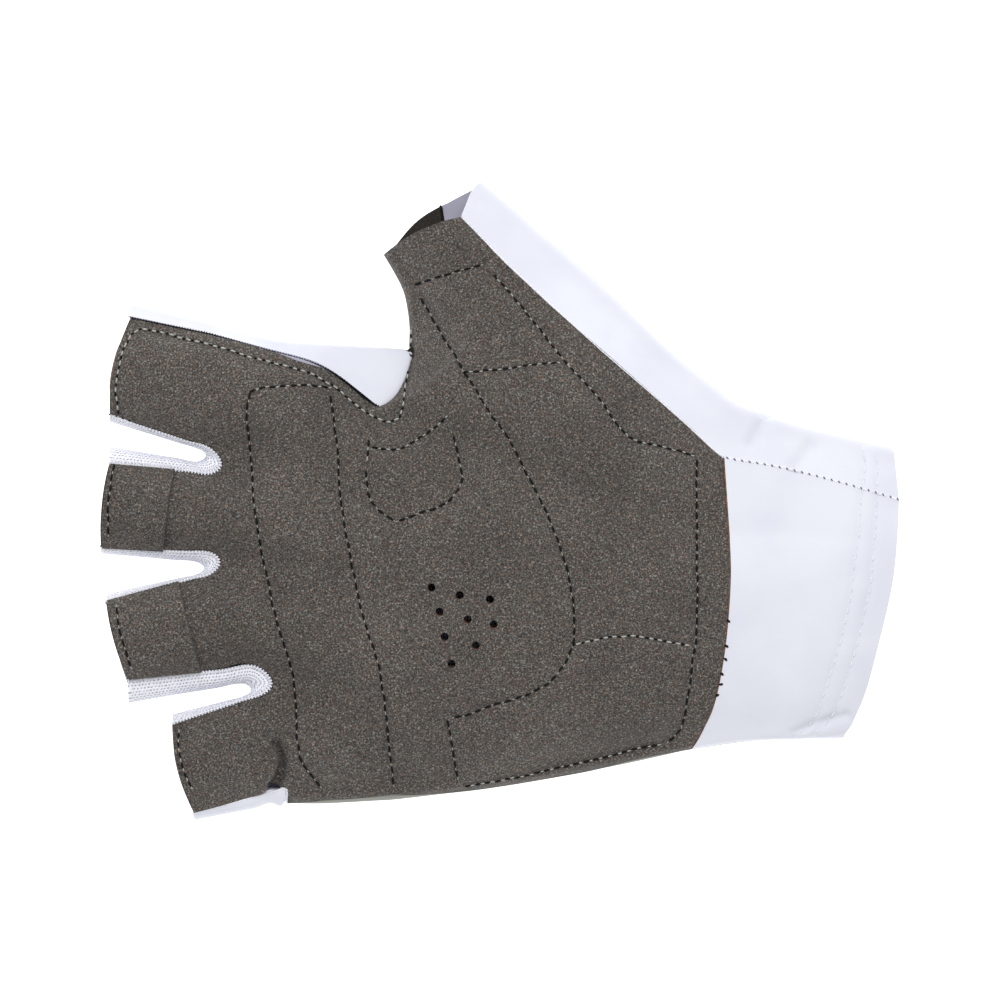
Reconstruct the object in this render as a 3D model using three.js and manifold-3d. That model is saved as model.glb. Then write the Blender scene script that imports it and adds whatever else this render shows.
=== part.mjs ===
// A half-finger cycling glove that lies on its back, palm up and slightly filled out.
// +X points to the cuff, +Y to the thumb and +Z up; the origin is the middle of its base.
// The outer surface is laid out as grids between the seams and the outline: an upper sheet,
// a flat lower sheet and a rounded band between them. Each piece of cloth is a part of that
// surface, given its thickness inward and drawn back a little from its seams.

import * as THREE from 'three';
import { mergeVertices } from 'three/addons/utils/BufferGeometryUtils.js';
import Module from 'manifold-3d';

// Main sizes in millimetres
const PALM_LENGTH = 110;
const PALM_WIDTH = 102;
const WRIST_WIDTH = 76.5;
const THUMB_ROOT_WIDTH = 126;
const CUFF_LENGTH = 38.5;
const CUFF_WIDTH = 66;
const INDEX_LENGTH = 24.9;
const MIDDLE_LENGTH = 26.8;
const RING_LENGTH = 25.7;
const LITTLE_LENGTH = 22.4;
const THUMB_MOUTH = 27.3;

// Heights above the surface, and how far the cloth arches above its own edges
const PALM_HEIGHT = 20;
const CUFF_HEIGHT = 12.5;
const FINGER_HEIGHT = 12;
const THUMB_HEIGHT = 13;
const WRIST_ARCH = 3;
const HAND_ARCH = 8;
const THUMB_ARCH = 5;
const FINGER_ROOT_ARCH = 5;
const FINGER_TIP_ARCH = 3.6;
const CUFF_ARCH = 3;

// Cloth
const SUEDE_THICKNESS = 1.4;
const LYCRA_THICKNESS = 1;
const MESH_THICKNESS = 1;
const TAB_THICKNESS = 1.1;
const HEM_THICKNESS = 1.8;
const SEAM_GAP = 0.34;
const LAYER_GAP = 0.35;
const SHARPEST_TURN = 0.66;
const TAB_EDGE_INSET = 0.7;
const VENT_DIAMETER = 1.8;

// Rounding of the sides: how far the upper and lower sheets stop inside the outline
const SIDE_INSET = 3.5;
const BACK_INSET = 2.6;
const WEB_INSET = 1.2;

// Counts of grid steps
const LITTLE_STEPS = 3;
const FINGER_STEPS = 4;
const CROTCH_STEPS = 2;
const THUMB_STEPS = 5;
const WEB_STEPS = 2;
const RADIAL_STEPS = 2;
const HEEL_ROWS = 9;
const HAND_ROWS = 6;
const THUMB_ROWS = 7;
const CUFF_ROWS = 6;
const SIDE_STEPS = 4;
const VENT_SIDES = 10;
const PALM_STEPS = LITTLE_STEPS + 3 * FINGER_STEPS + 3 * CROTCH_STEPS;

// Rows of a finger, from its crotch to its hem: two before the place where a pull tab would start,
// and three after it
const TAB_START = 0.36;
const ROWS_BEFORE_TAB = 2;
const ROWS_AFTER_TAB = 3;

function table(names, rows) {
  return rows.map((row) => Object.fromEntries(names.map((name, i) => [name, row[i]])));
}

// Sections from the wrist seam to the thumb crotch. Along is a share of the palm length from the
// wrist, across a share of the section's width, height a share of the palm height. Lean turns the
// rounding of the little-finger edge toward the cuff.
const HEEL_SECTIONS = table(
  ['width', 'lean',
    'ulnarAlong', 'ulnarAcross', 'ulnarHeight', 'creaseAlong', 'creaseAcross', 'creaseHeight',
    'seamAlong', 'seamAcross', 'seamHeight', 'radialAlong', 'radialAcross', 'radialHeight'],
  [
    [WRIST_WIDTH, 0.6, 0.07, -0.017, 0.42, -0.004, 0.609, 0.68, 0.006, 0.825, 0.6, -0.02, 0.983, 0.42],
    [PALM_WIDTH, 0.1, 0.266, 0.067, 0.47, 0.228, 0.659, 0.9, 0.148, 0.877, 0.75, 0.114, 0.978, 0.45],
    [PALM_WIDTH, 0, 0.464, 0.03, 0.5, 0.456, 0.744, 0.94, 0.29, 1.011, 0.78, 0.248, 1.116, 0.48],
    [THUMB_ROOT_WIDTH, 0, 0.66, 0.099, 0.5, 0.694, 0.783, 0.56, 0.434, 1.031, 0.72, 0.38, 1.099, 0.48],
  ],
);

// From the thumb crotch to the finger roots: the little-finger edge, the edge of the suede beside
// the index finger, and the outline of the web from its corner with the thumb.
const ULNAR_EDGE = table(
  ['along', 'across', 'height'],
  [
    [0.732, 0, 0.5],
    [0.806, -0.004, 0.5],
    [0.878, -0.004, 0.52],
  ],
);
const INDEX_EDGE = table(
  ['along', 'across', 'height'],
  [
    [0.806, 0.94, 0.6],
    [0.914, 0.976, 0.62],
    [1.026, 1.009, 0.6],
  ],
);
const WEB_CORNER = { along: 0.634, across: 0.976, height: 0.4 };
const SLOT_TURN = { along: 0.653, across: 0.887, height: 0.5 };
const WEB_EDGE = table(
  ['along', 'across', 'height'],
  [
    [0.78, 0.987, 0.42],
    [0.91, 1, 0.46],
    [1.034, 1.037, 0.5],
  ],
);

// How far down the rounded side the suede reaches, from the wrist to the thumb crotch and from there to
// the little finger, and where the side strip below it ends. Where the suede reaches less than halfway,
// the strip shows beside it from above.
const HEEL_SUEDE_REACH = [0.5, 0.34, 0.34, 0.46, 0.5, 0.5, 0.5, 0.44, 0.34, 0.27];
const HAND_SUEDE_REACH = [0.27, 0.26, 0.27, 0.28, 0.3, 0.36, 0.5];
const STRIP_END = 0.75;

// Crotches between the fingers: the point of the suede, where the two finger fronts leave it, and
// the end of the open gap, as shares of the palm length and width.
const CROTCHES = table(
  ['along', 'across', 'upperAlong', 'upperAcross', 'lowerAlong', 'lowerAcross', 'gapAlong', 'gapAcross'],
  [
    [1.006, 0.728, 1.03, 0.763, 1.03, 0.707, 1.04, 0.748],
    [1.01, 0.517, 1.03, 0.539, 1.03, 0.491, 1.044, 0.504],
    [0.904, 0.259, 0.94, 0.295, 0.926, 0.233, 0.95, 0.241],
  ],
);
const GAP_HALF_WIDTH = 1.4;
const GAP_RUN = 1.9;

// Fingertips: how far each corner of the front reaches as a share of the finger's length from its
// crotch, where it lies across the palm, how far the side shows beyond it as a share of the finger's
// height, where a pull tab starts, and the bow of the hem as a share of the length.
const FINGERTIPS = table(
  ['name', 'length', 'base', 'lowAlong', 'lowAcross', 'lowShows', 'lowTab',
    'highAlong', 'highAcross', 'highShows', 'highTab', 'bow'],
  [
    ['index', INDEX_LENGTH, 1.006, 1, 0.834, 0.125, TAB_START, 0.814, 1.045, 0.26, TAB_START, 0.05],
    ['middle', MIDDLE_LENGTH, 1.006, 1, 0.55, 0.125, 0.39, 0.934, 0.728, 0.33, 0.31, 0.02],
    ['ring', RING_LENGTH, 1.006, 0.812, 0.265, 0.44, 0.39, 1, 0.431, 0.16, 0.26, 0.02],
    ['little', LITTLE_LENGTH, 0.904, 0.784, -0.024, 0.13, TAB_START, 1, 0.168, 0.18, TAB_START, 0.05],
  ],
);

// The row across the root of the thumb, between the crotch and the outer seam
const THUMB_ROOT_LINE = table(
  ['along', 'across', 'height'],
  [
    [0.6, 0.884, 0.6],
    [0.51, 0.99, 0.66],
  ],
);

// The thumb's crotch side from the web to its mouth: along as a share of the palm length, across of
// the palm width, height of the thumb height.
const THUMB_CROTCH_SIDE = table(
  ['along', 'across', 'height'],
  [
    [0.634, 1.017, 0.66],
    [0.638, 1.06, 0.7],
    [0.646, 1.101, 0.74],
    [0.664, 1.142, 0.76],
    [0.686, 1.181, 0.76],
  ],
);
const THUMB_CROTCH_ROWS = WEB_STEPS;

// The thumb's mouth: where the seam meets it as a share of its width from the crotch side, heights as
// shares of the thumb height, and in millimetres how far the front dips at the seam, how far the back
// reaches there, and the bow of the front and back edges between the crotch side and the seam.
const MOUTH_ANGLE = 36.5;
const MOUTH_SEAM_SHARE = 0.68;
const MOUTH_SEAM_HEIGHT = 1.04;
const MOUTH_RADIAL_HEIGHT = 0.66;
const FRONT_DIP = 3.7;
const BACK_REACH = 0.9;
const FRONT_BOW = 0.9;
const BACK_BOW = 1.3;

// On the back of the thumb the suede's seam runs from the crotch to beyond the middle of the mouth:
// its place across the back at each row.
const BACK_SEAM_SHARES = [0.4, 0.3, 0.16, 0.3, 0.46, 0.6, 0.74, 0.88];
const BACK_SUEDE_STEPS = 2;

// The cuff's two long edges and its seam, as shares of the cuff's length and width, and heights of
// the cuff height; then the line of the wrist seam and the hem between them.
const CUFF_SECTIONS = table(
  ['lean', 'ulnarAlong', 'ulnarAcross', 'ulnarHeight', 'seamAlong', 'seamAcross', 'seamHeight',
    'radialAlong', 'radialAcross', 'radialHeight'],
  [
    [0.5, 0.154, 0.003, 0.66, 0.349, 0.91, 0.92, 0.343, 1.073, 0.64],
    [0.6, 0.429, 0.01, 0.62, 0.703, 0.857, 0.88, 0.657, 1.027, 0.6],
    [0.7, 0.669, 0.013, 0.58, 0.989, 0.807, 0.84, 0.965, 0.98, 0.56],
  ],
);
const WRIST_LINE = table(
  ['along', 'across', 'height'],
  [
    [0.028, 0.106, 0.52],
    [0.006, 0.264, 0.6],
    [-0.006, 0.48, 0.66],
  ],
);
const HEM_LINE = table(
  ['along', 'across', 'height'],
  [
    [0.794, 0.16, 0.66],
    [0.851, 0.283, 0.76],
    [0.949, 0.533, 0.86],
    [0.983, 0.733, 0.86],
  ],
);

// Broad dents and swells of the filled-out cloth: where each starts and ends as shares of the palm
// length and width, its half width and its depth in millimetres.
const FOLDS = table(
  ['fromAlong', 'fromAcross', 'toAlong', 'toAcross', 'halfWidth', 'depth'],
  [
    [0.78, 0.2, 0.78, 0.84, 7, 0.9],
    [0.93, 0.02, 0.89, 0.2, 6, 1.4],
    [0.52, 0.72, 0.2, 0.56, 8, 1],
    [0.31, 0.36, 0.5, 0.2, 9, 0.8],
    [-0.06, 0.84, -0.08, 0.2, 7, 1],
    [-0.17, 0.75, -0.13, 0.3, 6, 0.8],
    [0.5, 0.92, 0.62, 1, 6, 0.9],
  ],
);

// Vent holes in the middle of the palm
const VENTS = table(
  ['along', 'across'],
  [
    [0.588, 0.464],
    [0.532, 0.447],
    [0.472, 0.438],
    [0.572, 0.412],
    [0.516, 0.395],
    [0.464, 0.384],
    [0.562, 0.358],
    [0.5, 0.339],
    [0.548, 0.3],
  ],
);

// Plan positions
function onPalm(along, across, z = 0, width = PALM_WIDTH) {
  return new THREE.Vector3(-along * PALM_LENGTH, (across - 0.5) * width, z);
}

const CUFF_CENTRE = -0.0475 * PALM_WIDTH;

function onCuff(along, across, z = 0) {
  return new THREE.Vector3(along * CUFF_LENGTH, CUFF_CENTRE + (across - 0.5) * CUFF_WIDTH, z);
}

function between(a, b, t) {
  return a.clone().lerp(b, t);
}

function atHeight(point, z) {
  return new THREE.Vector3(point.x, point.y, z);
}

// One place on the outline: where the upper sheet ends, the outermost point, where the lower begins
function station(top, side) {
  const inward = atHeight(top, 0).sub(atHeight(side, 0)).normalize();
  return {
    top,
    side: atHeight(side, 0),
    bottom: atHeight(side, 0).addScaledVector(inward, BACK_INSET),
  };
}

function stationFrom(side, inward, inset, height) {
  const top = side.clone().addScaledVector(inward, inset);
  return station(atHeight(top, height), side);
}

function smoothLine(points) {
  return new THREE.CatmullRomCurve3(points, false, 'centripetal');
}

function samples(points, count) {
  const line = smoothLine(points);
  return Array.from({ length: count + 1 }, (_, i) => line.getPoint(i / count));
}

function evenSamples(points, count) {
  const line = smoothLine(points);
  return Array.from({ length: count + 1 }, (_, i) => line.getPointAt(i / count));
}

function stationsThrough(corners, shares) {
  const tops = smoothLine(corners.map((corner) => corner.top));
  const sides = smoothLine(corners.map((corner) => corner.side));
  return shares.map((share) => station(tops.getPoint(share), sides.getPoint(share)));
}

function evenShares(count) {
  return Array.from({ length: count + 1 }, (_, i) => i / count);
}

function straight(a, b, shares) {
  return shares.map((share) => between(a, b, share));
}

// A row lifted into an arch between its two ends
function arched(row, arch, power) {
  const last = row.length - 1;
  return row.map((point, i) => {
    const fromMiddle = Math.abs(2 * (i / last) - 1);
    return atHeight(point, point.z + arch * (1 - fromMiddle ** power));
  });
}

// A grid between two rows and two side lines that meet them at the corners
function fillGrid(first, last, low, high, shares) {
  const steps = first.length - 1;
  return shares.map((v, j) => first.map((_, i) => {
    const u = i / steps;
    const rows = between(first[i], last[i], v);
    const sides = between(low[j], high[j], u);
    const corners = between(between(first[0], first[steps], u), between(last[0], last[steps], u), v);
    return rows.add(sides).sub(corners);
  }));
}

function resampled(row, shares) {
  const last = row.length - 1;
  return shares.map((share) => {
    const place = Math.min(share * last, last - 1e-9);
    const cell = Math.floor(place);
    return between(row[cell], row[cell + 1], place - cell);
  });
}

// The whole outer surface: welded points and four-sided cells, each with the name of its piece
const points = [];
const cells = [];
const pointIndex = new Map();

function pointAt(position) {
  const key = [position.x, position.y, position.z].map((value) => Math.round(value * 1e4)).join(' ');
  if (!pointIndex.has(key)) {
    pointIndex.set(key, points.length);
    points.push(position.clone());
  }
  return pointIndex.get(key);
}

function cellNormal(corners) {
  const diagonal = points[corners[2]].clone().sub(points[corners[0]]);
  const other = points[corners[3]].clone().sub(points[corners[1]]);
  return diagonal.cross(other);
}

function addGrid(grid, pieceOf, outward) {
  const added = [];
  const ids = grid.map((row) => row.map(pointAt));
  for (let j = 0; j + 1 < ids.length; j += 1) {
    for (let i = 0; i + 1 < ids[j].length; i += 1) {
      const corners = [ids[j][i], ids[j][i + 1], ids[j + 1][i + 1], ids[j + 1][i]];
      added.push({ corners, piece: pieceOf(j, i) });
    }
  }
  const facing = added.reduce((sum, cell, n) => sum + cellNormal(cell.corners).dot(outward(n)), 0);
  if (facing < 0) {
    added.forEach((cell) => cell.corners.reverse());
  }
  cells.push(...added);
  return ids;
}

const UP = new THREE.Vector3(0, 0, 1);
const DOWN = new THREE.Vector3(0, 0, -1);

// The rounded band along a run of stations, with points at the given shares of the way down it
function addSideBand(stations, pieceOf, sharesAt = () => evenShares(SIDE_STEPS)) {
  const grid = stations.map(({ top, side, bottom }, j) => sharesAt(j).map((share) => {
    const reach = Math.sin(share * Math.PI);
    const from = share <= 0.5 ? top : bottom;
    const place = between(atHeight(from, 0), side, reach);
    return atHeight(place, top.z * 0.5 * (1 + Math.cos(share * Math.PI)));
  }));
  const outward = (n) => {
    const { top, side } = stations[Math.floor(n / (grid[0].length - 1))];
    return side.clone().sub(atHeight(top, 0));
  };
  return addGrid(grid, pieceOf, outward);
}

// Points of the hem of the cuff, where the cloth is doubled
const hemPoints = new Set();

function markHem(ids) {
  ids[ids.length - 1].forEach((id) => hemPoints.add(id));
}

// Outline stations, from the hem to the fingertips and round each gap
function ulnarStation(point, lean, height) {
  return stationFrom(point, new THREE.Vector3(lean, 1, 0).normalize(), SIDE_INSET, height);
}

function radialStation(point, seam, height) {
  const inward = seam.clone().sub(point).normalize();
  return stationFrom(point, inward, SIDE_INSET, height);
}

const heelUlnar = HEEL_SECTIONS.map((row) => ulnarStation(
  onPalm(row.ulnarAlong, row.ulnarAcross, 0, row.width), row.lean, row.ulnarHeight * PALM_HEIGHT));
const heelRadial = HEEL_SECTIONS.map((row) => radialStation(
  onPalm(row.radialAlong, row.radialAcross, 0, row.width),
  onPalm(row.seamAlong, row.seamAcross, 0, row.width), row.radialHeight * PALM_HEIGHT));
const cuffUlnar = CUFF_SECTIONS.map((row) => ulnarStation(
  onCuff(row.ulnarAlong, row.ulnarAcross), row.lean, row.ulnarHeight * CUFF_HEIGHT));
const cuffRadial = CUFF_SECTIONS.map((row) => radialStation(
  onCuff(row.radialAlong, row.radialAcross), onCuff(row.seamAlong, row.seamAcross),
  row.radialHeight * CUFF_HEIGHT));
const handUlnar = ULNAR_EDGE.map((row) => ulnarStation(
  onPalm(row.along, row.across), 0, row.height * PALM_HEIGHT));

const heelShares = evenShares(HEEL_ROWS);
const handShares = evenShares(HAND_ROWS);
const cuffShares = evenShares(CUFF_ROWS);
const ulnarHeel = stationsThrough(heelUlnar, heelShares);
const radialHeel = stationsThrough(heelRadial, heelShares);
const ulnarHand = stationsThrough([heelUlnar[heelUlnar.length - 1], ...handUlnar], handShares);
const ulnarCuff = stationsThrough([heelUlnar[0], ...cuffUlnar], cuffShares);
const radialCuff = stationsThrough([heelRadial[0], ...cuffRadial], cuffShares);

// The web beside the index finger and the corner where it meets the thumb
const cornerInward = new THREE.Vector3(0.5, -1, 0).normalize();
const cornerStation = stationFrom(
  onPalm(WEB_CORNER.along, WEB_CORNER.across), cornerInward, WEB_INSET, WEB_CORNER.height * PALM_HEIGHT);
const slotTurn = onPalm(SLOT_TURN.along, SLOT_TURN.across, SLOT_TURN.height * PALM_HEIGHT);
const webInward = new THREE.Vector3(0.2, -1, 0).normalize();
const webStations = WEB_EDGE.map((row) => stationFrom(
  onPalm(row.along, row.across), webInward, WEB_INSET, row.height * PALM_HEIGHT));
const webHand = stationsThrough([cornerStation, ...webStations], handShares);

// The thumb's two sides, from the root row to the mouth
const thumbAxis = new THREE.Vector3(
  -Math.sin(THREE.MathUtils.degToRad(MOUTH_ANGLE)), Math.cos(THREE.MathUtils.degToRad(MOUTH_ANGLE)), 0);
const mouthAcross = new THREE.Vector3(thumbAxis.y, -thumbAxis.x, 0);
const crotchSide = THUMB_CROTCH_SIDE.map((row, i) => {
  const turn = (i + 1) / THUMB_CROTCH_SIDE.length;
  const inward = new THREE.Vector3(1, 0, 0).lerp(mouthAcross, turn).normalize();
  return stationFrom(onPalm(row.along, row.across), inward, SIDE_INSET * 0.8, row.height * THUMB_HEIGHT);
});
const mouthCrotch = crotchSide[crotchSide.length - 1];
const mouthRadialSide = mouthCrotch.side.clone().addScaledVector(mouthAcross, THUMB_MOUTH);
const mouthRadial = stationFrom(
  mouthRadialSide, mouthAcross.clone().negate(), SIDE_INSET * 0.7, MOUTH_RADIAL_HEIGHT * THUMB_HEIGHT);
const thumbFreeRows = THUMB_ROWS - THUMB_CROTCH_ROWS;
const crotchThumb = stationsThrough([cornerStation, ...crotchSide], evenShares(thumbFreeRows));
const radialThumb = stationsThrough([heelRadial[heelRadial.length - 1], mouthRadial], evenShares(THUMB_ROWS));

// Crotches and finger sides
const crotchStations = CROTCHES.map((row, i) => {
  const height = FINGER_HEIGHT;
  const gapEnd = onPalm(row.gapAlong, row.gapAcross);
  const upperSide = gapEnd.clone().add(new THREE.Vector3(-GAP_RUN, GAP_HALF_WIDTH, 0));
  const lowerSide = gapEnd.clone().add(new THREE.Vector3(-GAP_RUN, -GAP_HALF_WIDTH, 0));
  return {
    name: ['index_middle', 'middle_ring', 'ring_little'][i],
    upper: station(onPalm(row.upperAlong, row.upperAcross, height), upperSide),
    point: station(onPalm(row.along, row.across, height * 0.97), gapEnd),
    lower: station(onPalm(row.lowerAlong, row.lowerAcross, height), lowerSide),
  };
});

const TIP_EDGE_SHARE = 0.9;

function fingerRows(tabStart) {
  const before = evenShares(ROWS_BEFORE_TAB).map((share) => share * tabStart);
  const after = evenShares(ROWS_AFTER_TAB).slice(1).map((share) => tabStart + share * (1 - tabStart));
  return [...before, ...after];
}

function tipStation(row, along, across, shows, toward) {
  const x = -row.base * PALM_LENGTH - along * row.length;
  const top = new THREE.Vector3(x, (across - 0.5) * PALM_WIDTH, FINGER_HEIGHT * TIP_EDGE_SHARE);
  return station(top, new THREE.Vector3(x, top.y + toward * shows, 0));
}

const fingers = Object.fromEntries(FINGERTIPS.map((row, i) => {
  const rootHigh = i === 0 ? null : crotchStations[i - 1].lower;
  const rootLow = i === 3 ? ulnarHand[HAND_ROWS] : crotchStations[i].upper;
  const tipLow = tipStation(row, row.lowAlong, row.lowAcross, row.lowShows * FINGER_HEIGHT, -1);
  const tipHigh = tipStation(row, row.highAlong, row.highAcross, row.highShows * FINGER_HEIGHT, 1);
  const lowSide = stationsThrough([rootLow, tipLow], fingerRows(row.lowTab));
  const highSide = rootHigh && stationsThrough([rootHigh, tipHigh], fingerRows(row.highTab));
  const steps = row.name === 'little' ? LITTLE_STEPS : FINGER_STEPS;
  return [row.name, { row, rootLow, rootHigh, tipLow, tipHigh, lowSide, highSide, steps }];
}));

// The suede's edge beside the index finger, and the outline there from its root to its hem
const creaseCorner = HEEL_SECTIONS[HEEL_SECTIONS.length - 1];
const indexEdge = samples([
  onPalm(creaseCorner.creaseAlong, creaseCorner.creaseAcross, creaseCorner.creaseHeight * PALM_HEIGHT,
    creaseCorner.width),
  ...INDEX_EDGE.map((row) => onPalm(row.along, row.across, row.height * PALM_HEIGHT)),
], HAND_ROWS);
const indexRootEdge = indexEdge[HAND_ROWS];
const indexTipEdge = fingers.index.tipHigh.top;
const webRoot = webHand[HAND_ROWS];
const webTip = stationFrom(
  fingers.index.tipHigh.side, new THREE.Vector3(0, -1, 0), WEB_INSET, FINGER_HEIGHT * TIP_EDGE_SHARE * 0.8);
const indexRows = fingerRows(TAB_START);
const webFinger = stationsThrough([webRoot, webTip], indexRows);

// The cells of each fingertip that a pull tab can lie on
const frontCells = new Map();

// Both sheets are laid out the same way; the lower one is flat
function addSheet(side) {
  const lift = side === 'top' ? 1 : 0;
  const isTop = side === 'top';
  const facing = () => (isTop ? UP : DOWN);
  const piece = (name) => () => (isTop ? name : 'back_lycra');
  const flat = (point) => (isTop ? point : atHeight(point, 0));
  const pick = (stations) => stations.map((each) => each[side]);

  // Guide lines inside the outline
  const crease = samples(HEEL_SECTIONS.map((row) => onPalm(
    row.creaseAlong, row.creaseAcross, lift * row.creaseHeight * PALM_HEIGHT, row.width)), HEEL_ROWS);
  const seam = samples(HEEL_SECTIONS.map((row) => onPalm(
    row.seamAlong, row.seamAcross, lift * row.seamHeight * PALM_HEIGHT, row.width)), HEEL_ROWS);
  const cuffSeam = samples([seam[0], ...CUFF_SECTIONS.map((row) => onCuff(
    row.seamAlong, row.seamAcross, lift * row.seamHeight * CUFF_HEIGHT))], CUFF_ROWS);
  const webLine = indexEdge.map(flat);

  // Wrist row, hem row and thumb-crotch row
  const wristLine = WRIST_LINE.map((row) => onPalm(
    row.along, row.across, lift * row.height * PALM_HEIGHT, WRIST_WIDTH));
  const wristPalm = evenSamples([ulnarHeel[0][side], ...wristLine, crease[0]], PALM_STEPS);
  const wristThumb = straight(crease[0], seam[0], evenShares(THUMB_STEPS));
  const wristRadial = straight(seam[0], radialHeel[0][side], evenShares(RADIAL_STEPS));
  const hemLine = HEM_LINE.map((row) => onCuff(row.along, row.across, lift * row.height * CUFF_HEIGHT));
  const hem = evenSamples(
    [ulnarCuff[CUFF_ROWS][side], ...hemLine, cuffSeam[CUFF_ROWS]], PALM_STEPS + THUMB_STEPS);
  const hemRadial = straight(cuffSeam[CUFF_ROWS], radialCuff[CUFF_ROWS][side], evenShares(RADIAL_STEPS));
  const creaseEnd = crease[HEEL_ROWS];
  const seamEnd = seam[HEEL_ROWS];
  const rootPalm = arched(
    straight(ulnarHeel[HEEL_ROWS][side], creaseEnd, evenShares(PALM_STEPS)), lift * HAND_ARCH, 3.4);
  const rootLine = THUMB_ROOT_LINE.map((row) => onPalm(
    row.along, row.across, lift * row.height * PALM_HEIGHT));
  const rootThumb = arched(
    evenSamples([creaseEnd, ...rootLine, seamEnd], THUMB_STEPS), lift * THUMB_ARCH, 2);
  const rootRadial = straight(seamEnd, radialHeel[HEEL_ROWS][side], evenShares(RADIAL_STEPS));

  // Heel of the palm, base of the thumb and the lycra beside it
  const heelWrist = arched(wristPalm, lift * WRIST_ARCH, 3);
  addGrid(fillGrid(heelWrist, rootPalm, pick(ulnarHeel), crease, heelShares), piece('palm_suede'), facing);
  addGrid(fillGrid(wristThumb, rootThumb, crease, seam, heelShares), piece('palm_suede'), facing);
  addGrid(fillGrid(wristRadial, rootRadial, seam, pick(radialHeel), heelShares), piece('back_lycra'), facing);

  // Cuff
  const cuffStart = [...heelWrist, ...wristThumb.slice(1)];
  const cuffEnd = arched(hem, lift * CUFF_ARCH, 3);
  markHem(addGrid(
    fillGrid(cuffStart, cuffEnd, pick(ulnarCuff), cuffSeam, cuffShares), piece('cuff_palm_panel'), facing));
  markHem(addGrid(
    fillGrid(wristRadial, hemRadial, cuffSeam, pick(radialCuff), cuffShares), piece('back_lycra'), facing));

  // Row of the finger roots, from the little finger to the index finger
  const rootArch = lift * FINGER_ROOT_ARCH;
  const frontRow = (from, to, steps) => arched(straight(from, to, evenShares(steps)), rootArch, 2.4);
  const corner = ['index', 'middle', 'ring', 'little'].map((name, i) => frontRow(
    fingers[name].rootLow[side],
    i === 0 ? flat(indexRootEdge) : fingers[name].rootHigh[side],
    fingers[name].steps));
  const crotchRow = crotchStations.map(({ upper, point, lower }) => [lower[side], point[side], upper[side]]);
  const fingerRoots = [
    ...corner[3], crotchRow[2][1], ...corner[2], crotchRow[1][1], ...corner[1], crotchRow[0][1], ...corner[0],
  ];
  addGrid(fillGrid(rootPalm, fingerRoots, pick(ulnarHand), webLine, handShares), piece('palm_suede'), facing);

  // Web
  const webStart = [creaseEnd, flat(slotTurn), cornerStation[side]];
  const webEnd = straight(flat(indexRootEdge), webRoot[side], evenShares(WEB_STEPS));
  addGrid(fillGrid(webStart, webEnd, webLine, pick(webHand), handShares), piece('back_lycra'), facing);

  // Fingers
  ['index', 'middle', 'ring', 'little'].forEach((name, i) => {
    const { row, tipLow, tipHigh, lowSide, highSide } = fingers[name];
    const highTip = i === 0 ? flat(indexTipEdge) : tipHigh[side];
    const bow = row.bow * row.length;
    const tips = arched(
      straight(tipLow[side], highTip, evenShares(fingers[name].steps)), lift * FINGER_TIP_ARCH, 2.4);
    const tipRow = tips.map((point, n) => {
      const share = n / (tips.length - 1);
      return new THREE.Vector3(point.x - bow * 4 * share * (1 - share), point.y, point.z);
    });
    const high = i === 0 ? straight(flat(indexRootEdge), highTip, indexRows) : pick(highSide);
    const firstCell = cells.length;
    const rows = fingerRows((row.lowTab + row.highTab) / 2);
    addGrid(fillGrid(corner[i], tipRow, pick(lowSide), high, rows), piece('palm_suede'), facing);
    if (isTop) {
      frontCells.set(name, cells.slice(firstCell + ROWS_BEFORE_TAB * fingers[name].steps));
    }
  });
  const sideStart = straight(flat(indexRootEdge), webRoot[side], evenShares(WEB_STEPS));
  const sideEnd = straight(flat(indexTipEdge), webTip[side], evenShares(WEB_STEPS));
  const edgeLine = straight(flat(indexRootEdge), flat(indexTipEdge), indexRows);
  const indexSide = fillGrid(sideStart, sideEnd, edgeLine, pick(webFinger), indexRows);
  addGrid(indexSide, piece('back_lycra'), facing);

  // Thumb
  const crotchLine = [...webStart, ...pick(crotchThumb).slice(1)];
  const mouthStart = crotchThumb[thumbFreeRows][side];
  const mouthEnd = radialThumb[THUMB_ROWS][side];
  const seamPlan = between(mouthCrotch.side, mouthRadialSide, MOUTH_SEAM_SHARE);
  const mouthSeam = atHeight(seamPlan, lift * MOUTH_SEAM_HEIGHT * THUMB_HEIGHT)
    .addScaledVector(thumbAxis, isTop ? -FRONT_DIP : BACK_REACH);
  const thumbSeam = straight(seamEnd, mouthSeam, evenShares(THUMB_ROWS));
  const mouthLine = straight(mouthStart, mouthSeam, evenShares(THUMB_STEPS));
  const mouthRow = arched(mouthLine, lift * THUMB_ARCH * 0.7, 2)
    .map((point, n) => {
      const share = n / THUMB_STEPS;
      const reach = (isTop ? FRONT_BOW : BACK_BOW) * 4 * share * (1 - share);
      return point.addScaledVector(thumbAxis, reach);
    });
  const thumbShares = evenShares(THUMB_ROWS);
  const front = fillGrid(rootThumb, mouthRow, crotchLine, thumbSeam, thumbShares);
  const laid = isTop ? front : front.map((row, j) => {
    const split = BACK_SEAM_SHARES[j];
    const suede = evenShares(BACK_SUEDE_STEPS).map((share) => share * split);
    const rest = evenShares(THUMB_STEPS - BACK_SUEDE_STEPS).map((share) => split + share * (1 - split));
    return resampled(row, [...suede, ...rest.slice(1)]);
  });
  const wrapped = (j, i) => (isTop || (j >= THUMB_CROTCH_ROWS && i < BACK_SUEDE_STEPS)
    ? 'palm_suede' : 'back_lycra');
  addGrid(laid, wrapped, facing);
  const mouthRadialRow = straight(mouthSeam, mouthEnd, evenShares(RADIAL_STEPS));
  const band = fillGrid(rootRadial, mouthRadialRow, thumbSeam, pick(radialThumb), thumbShares);
  addGrid(band, piece('back_lycra'), facing);
}

addSheet('top');
addSheet('bottom');

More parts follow.
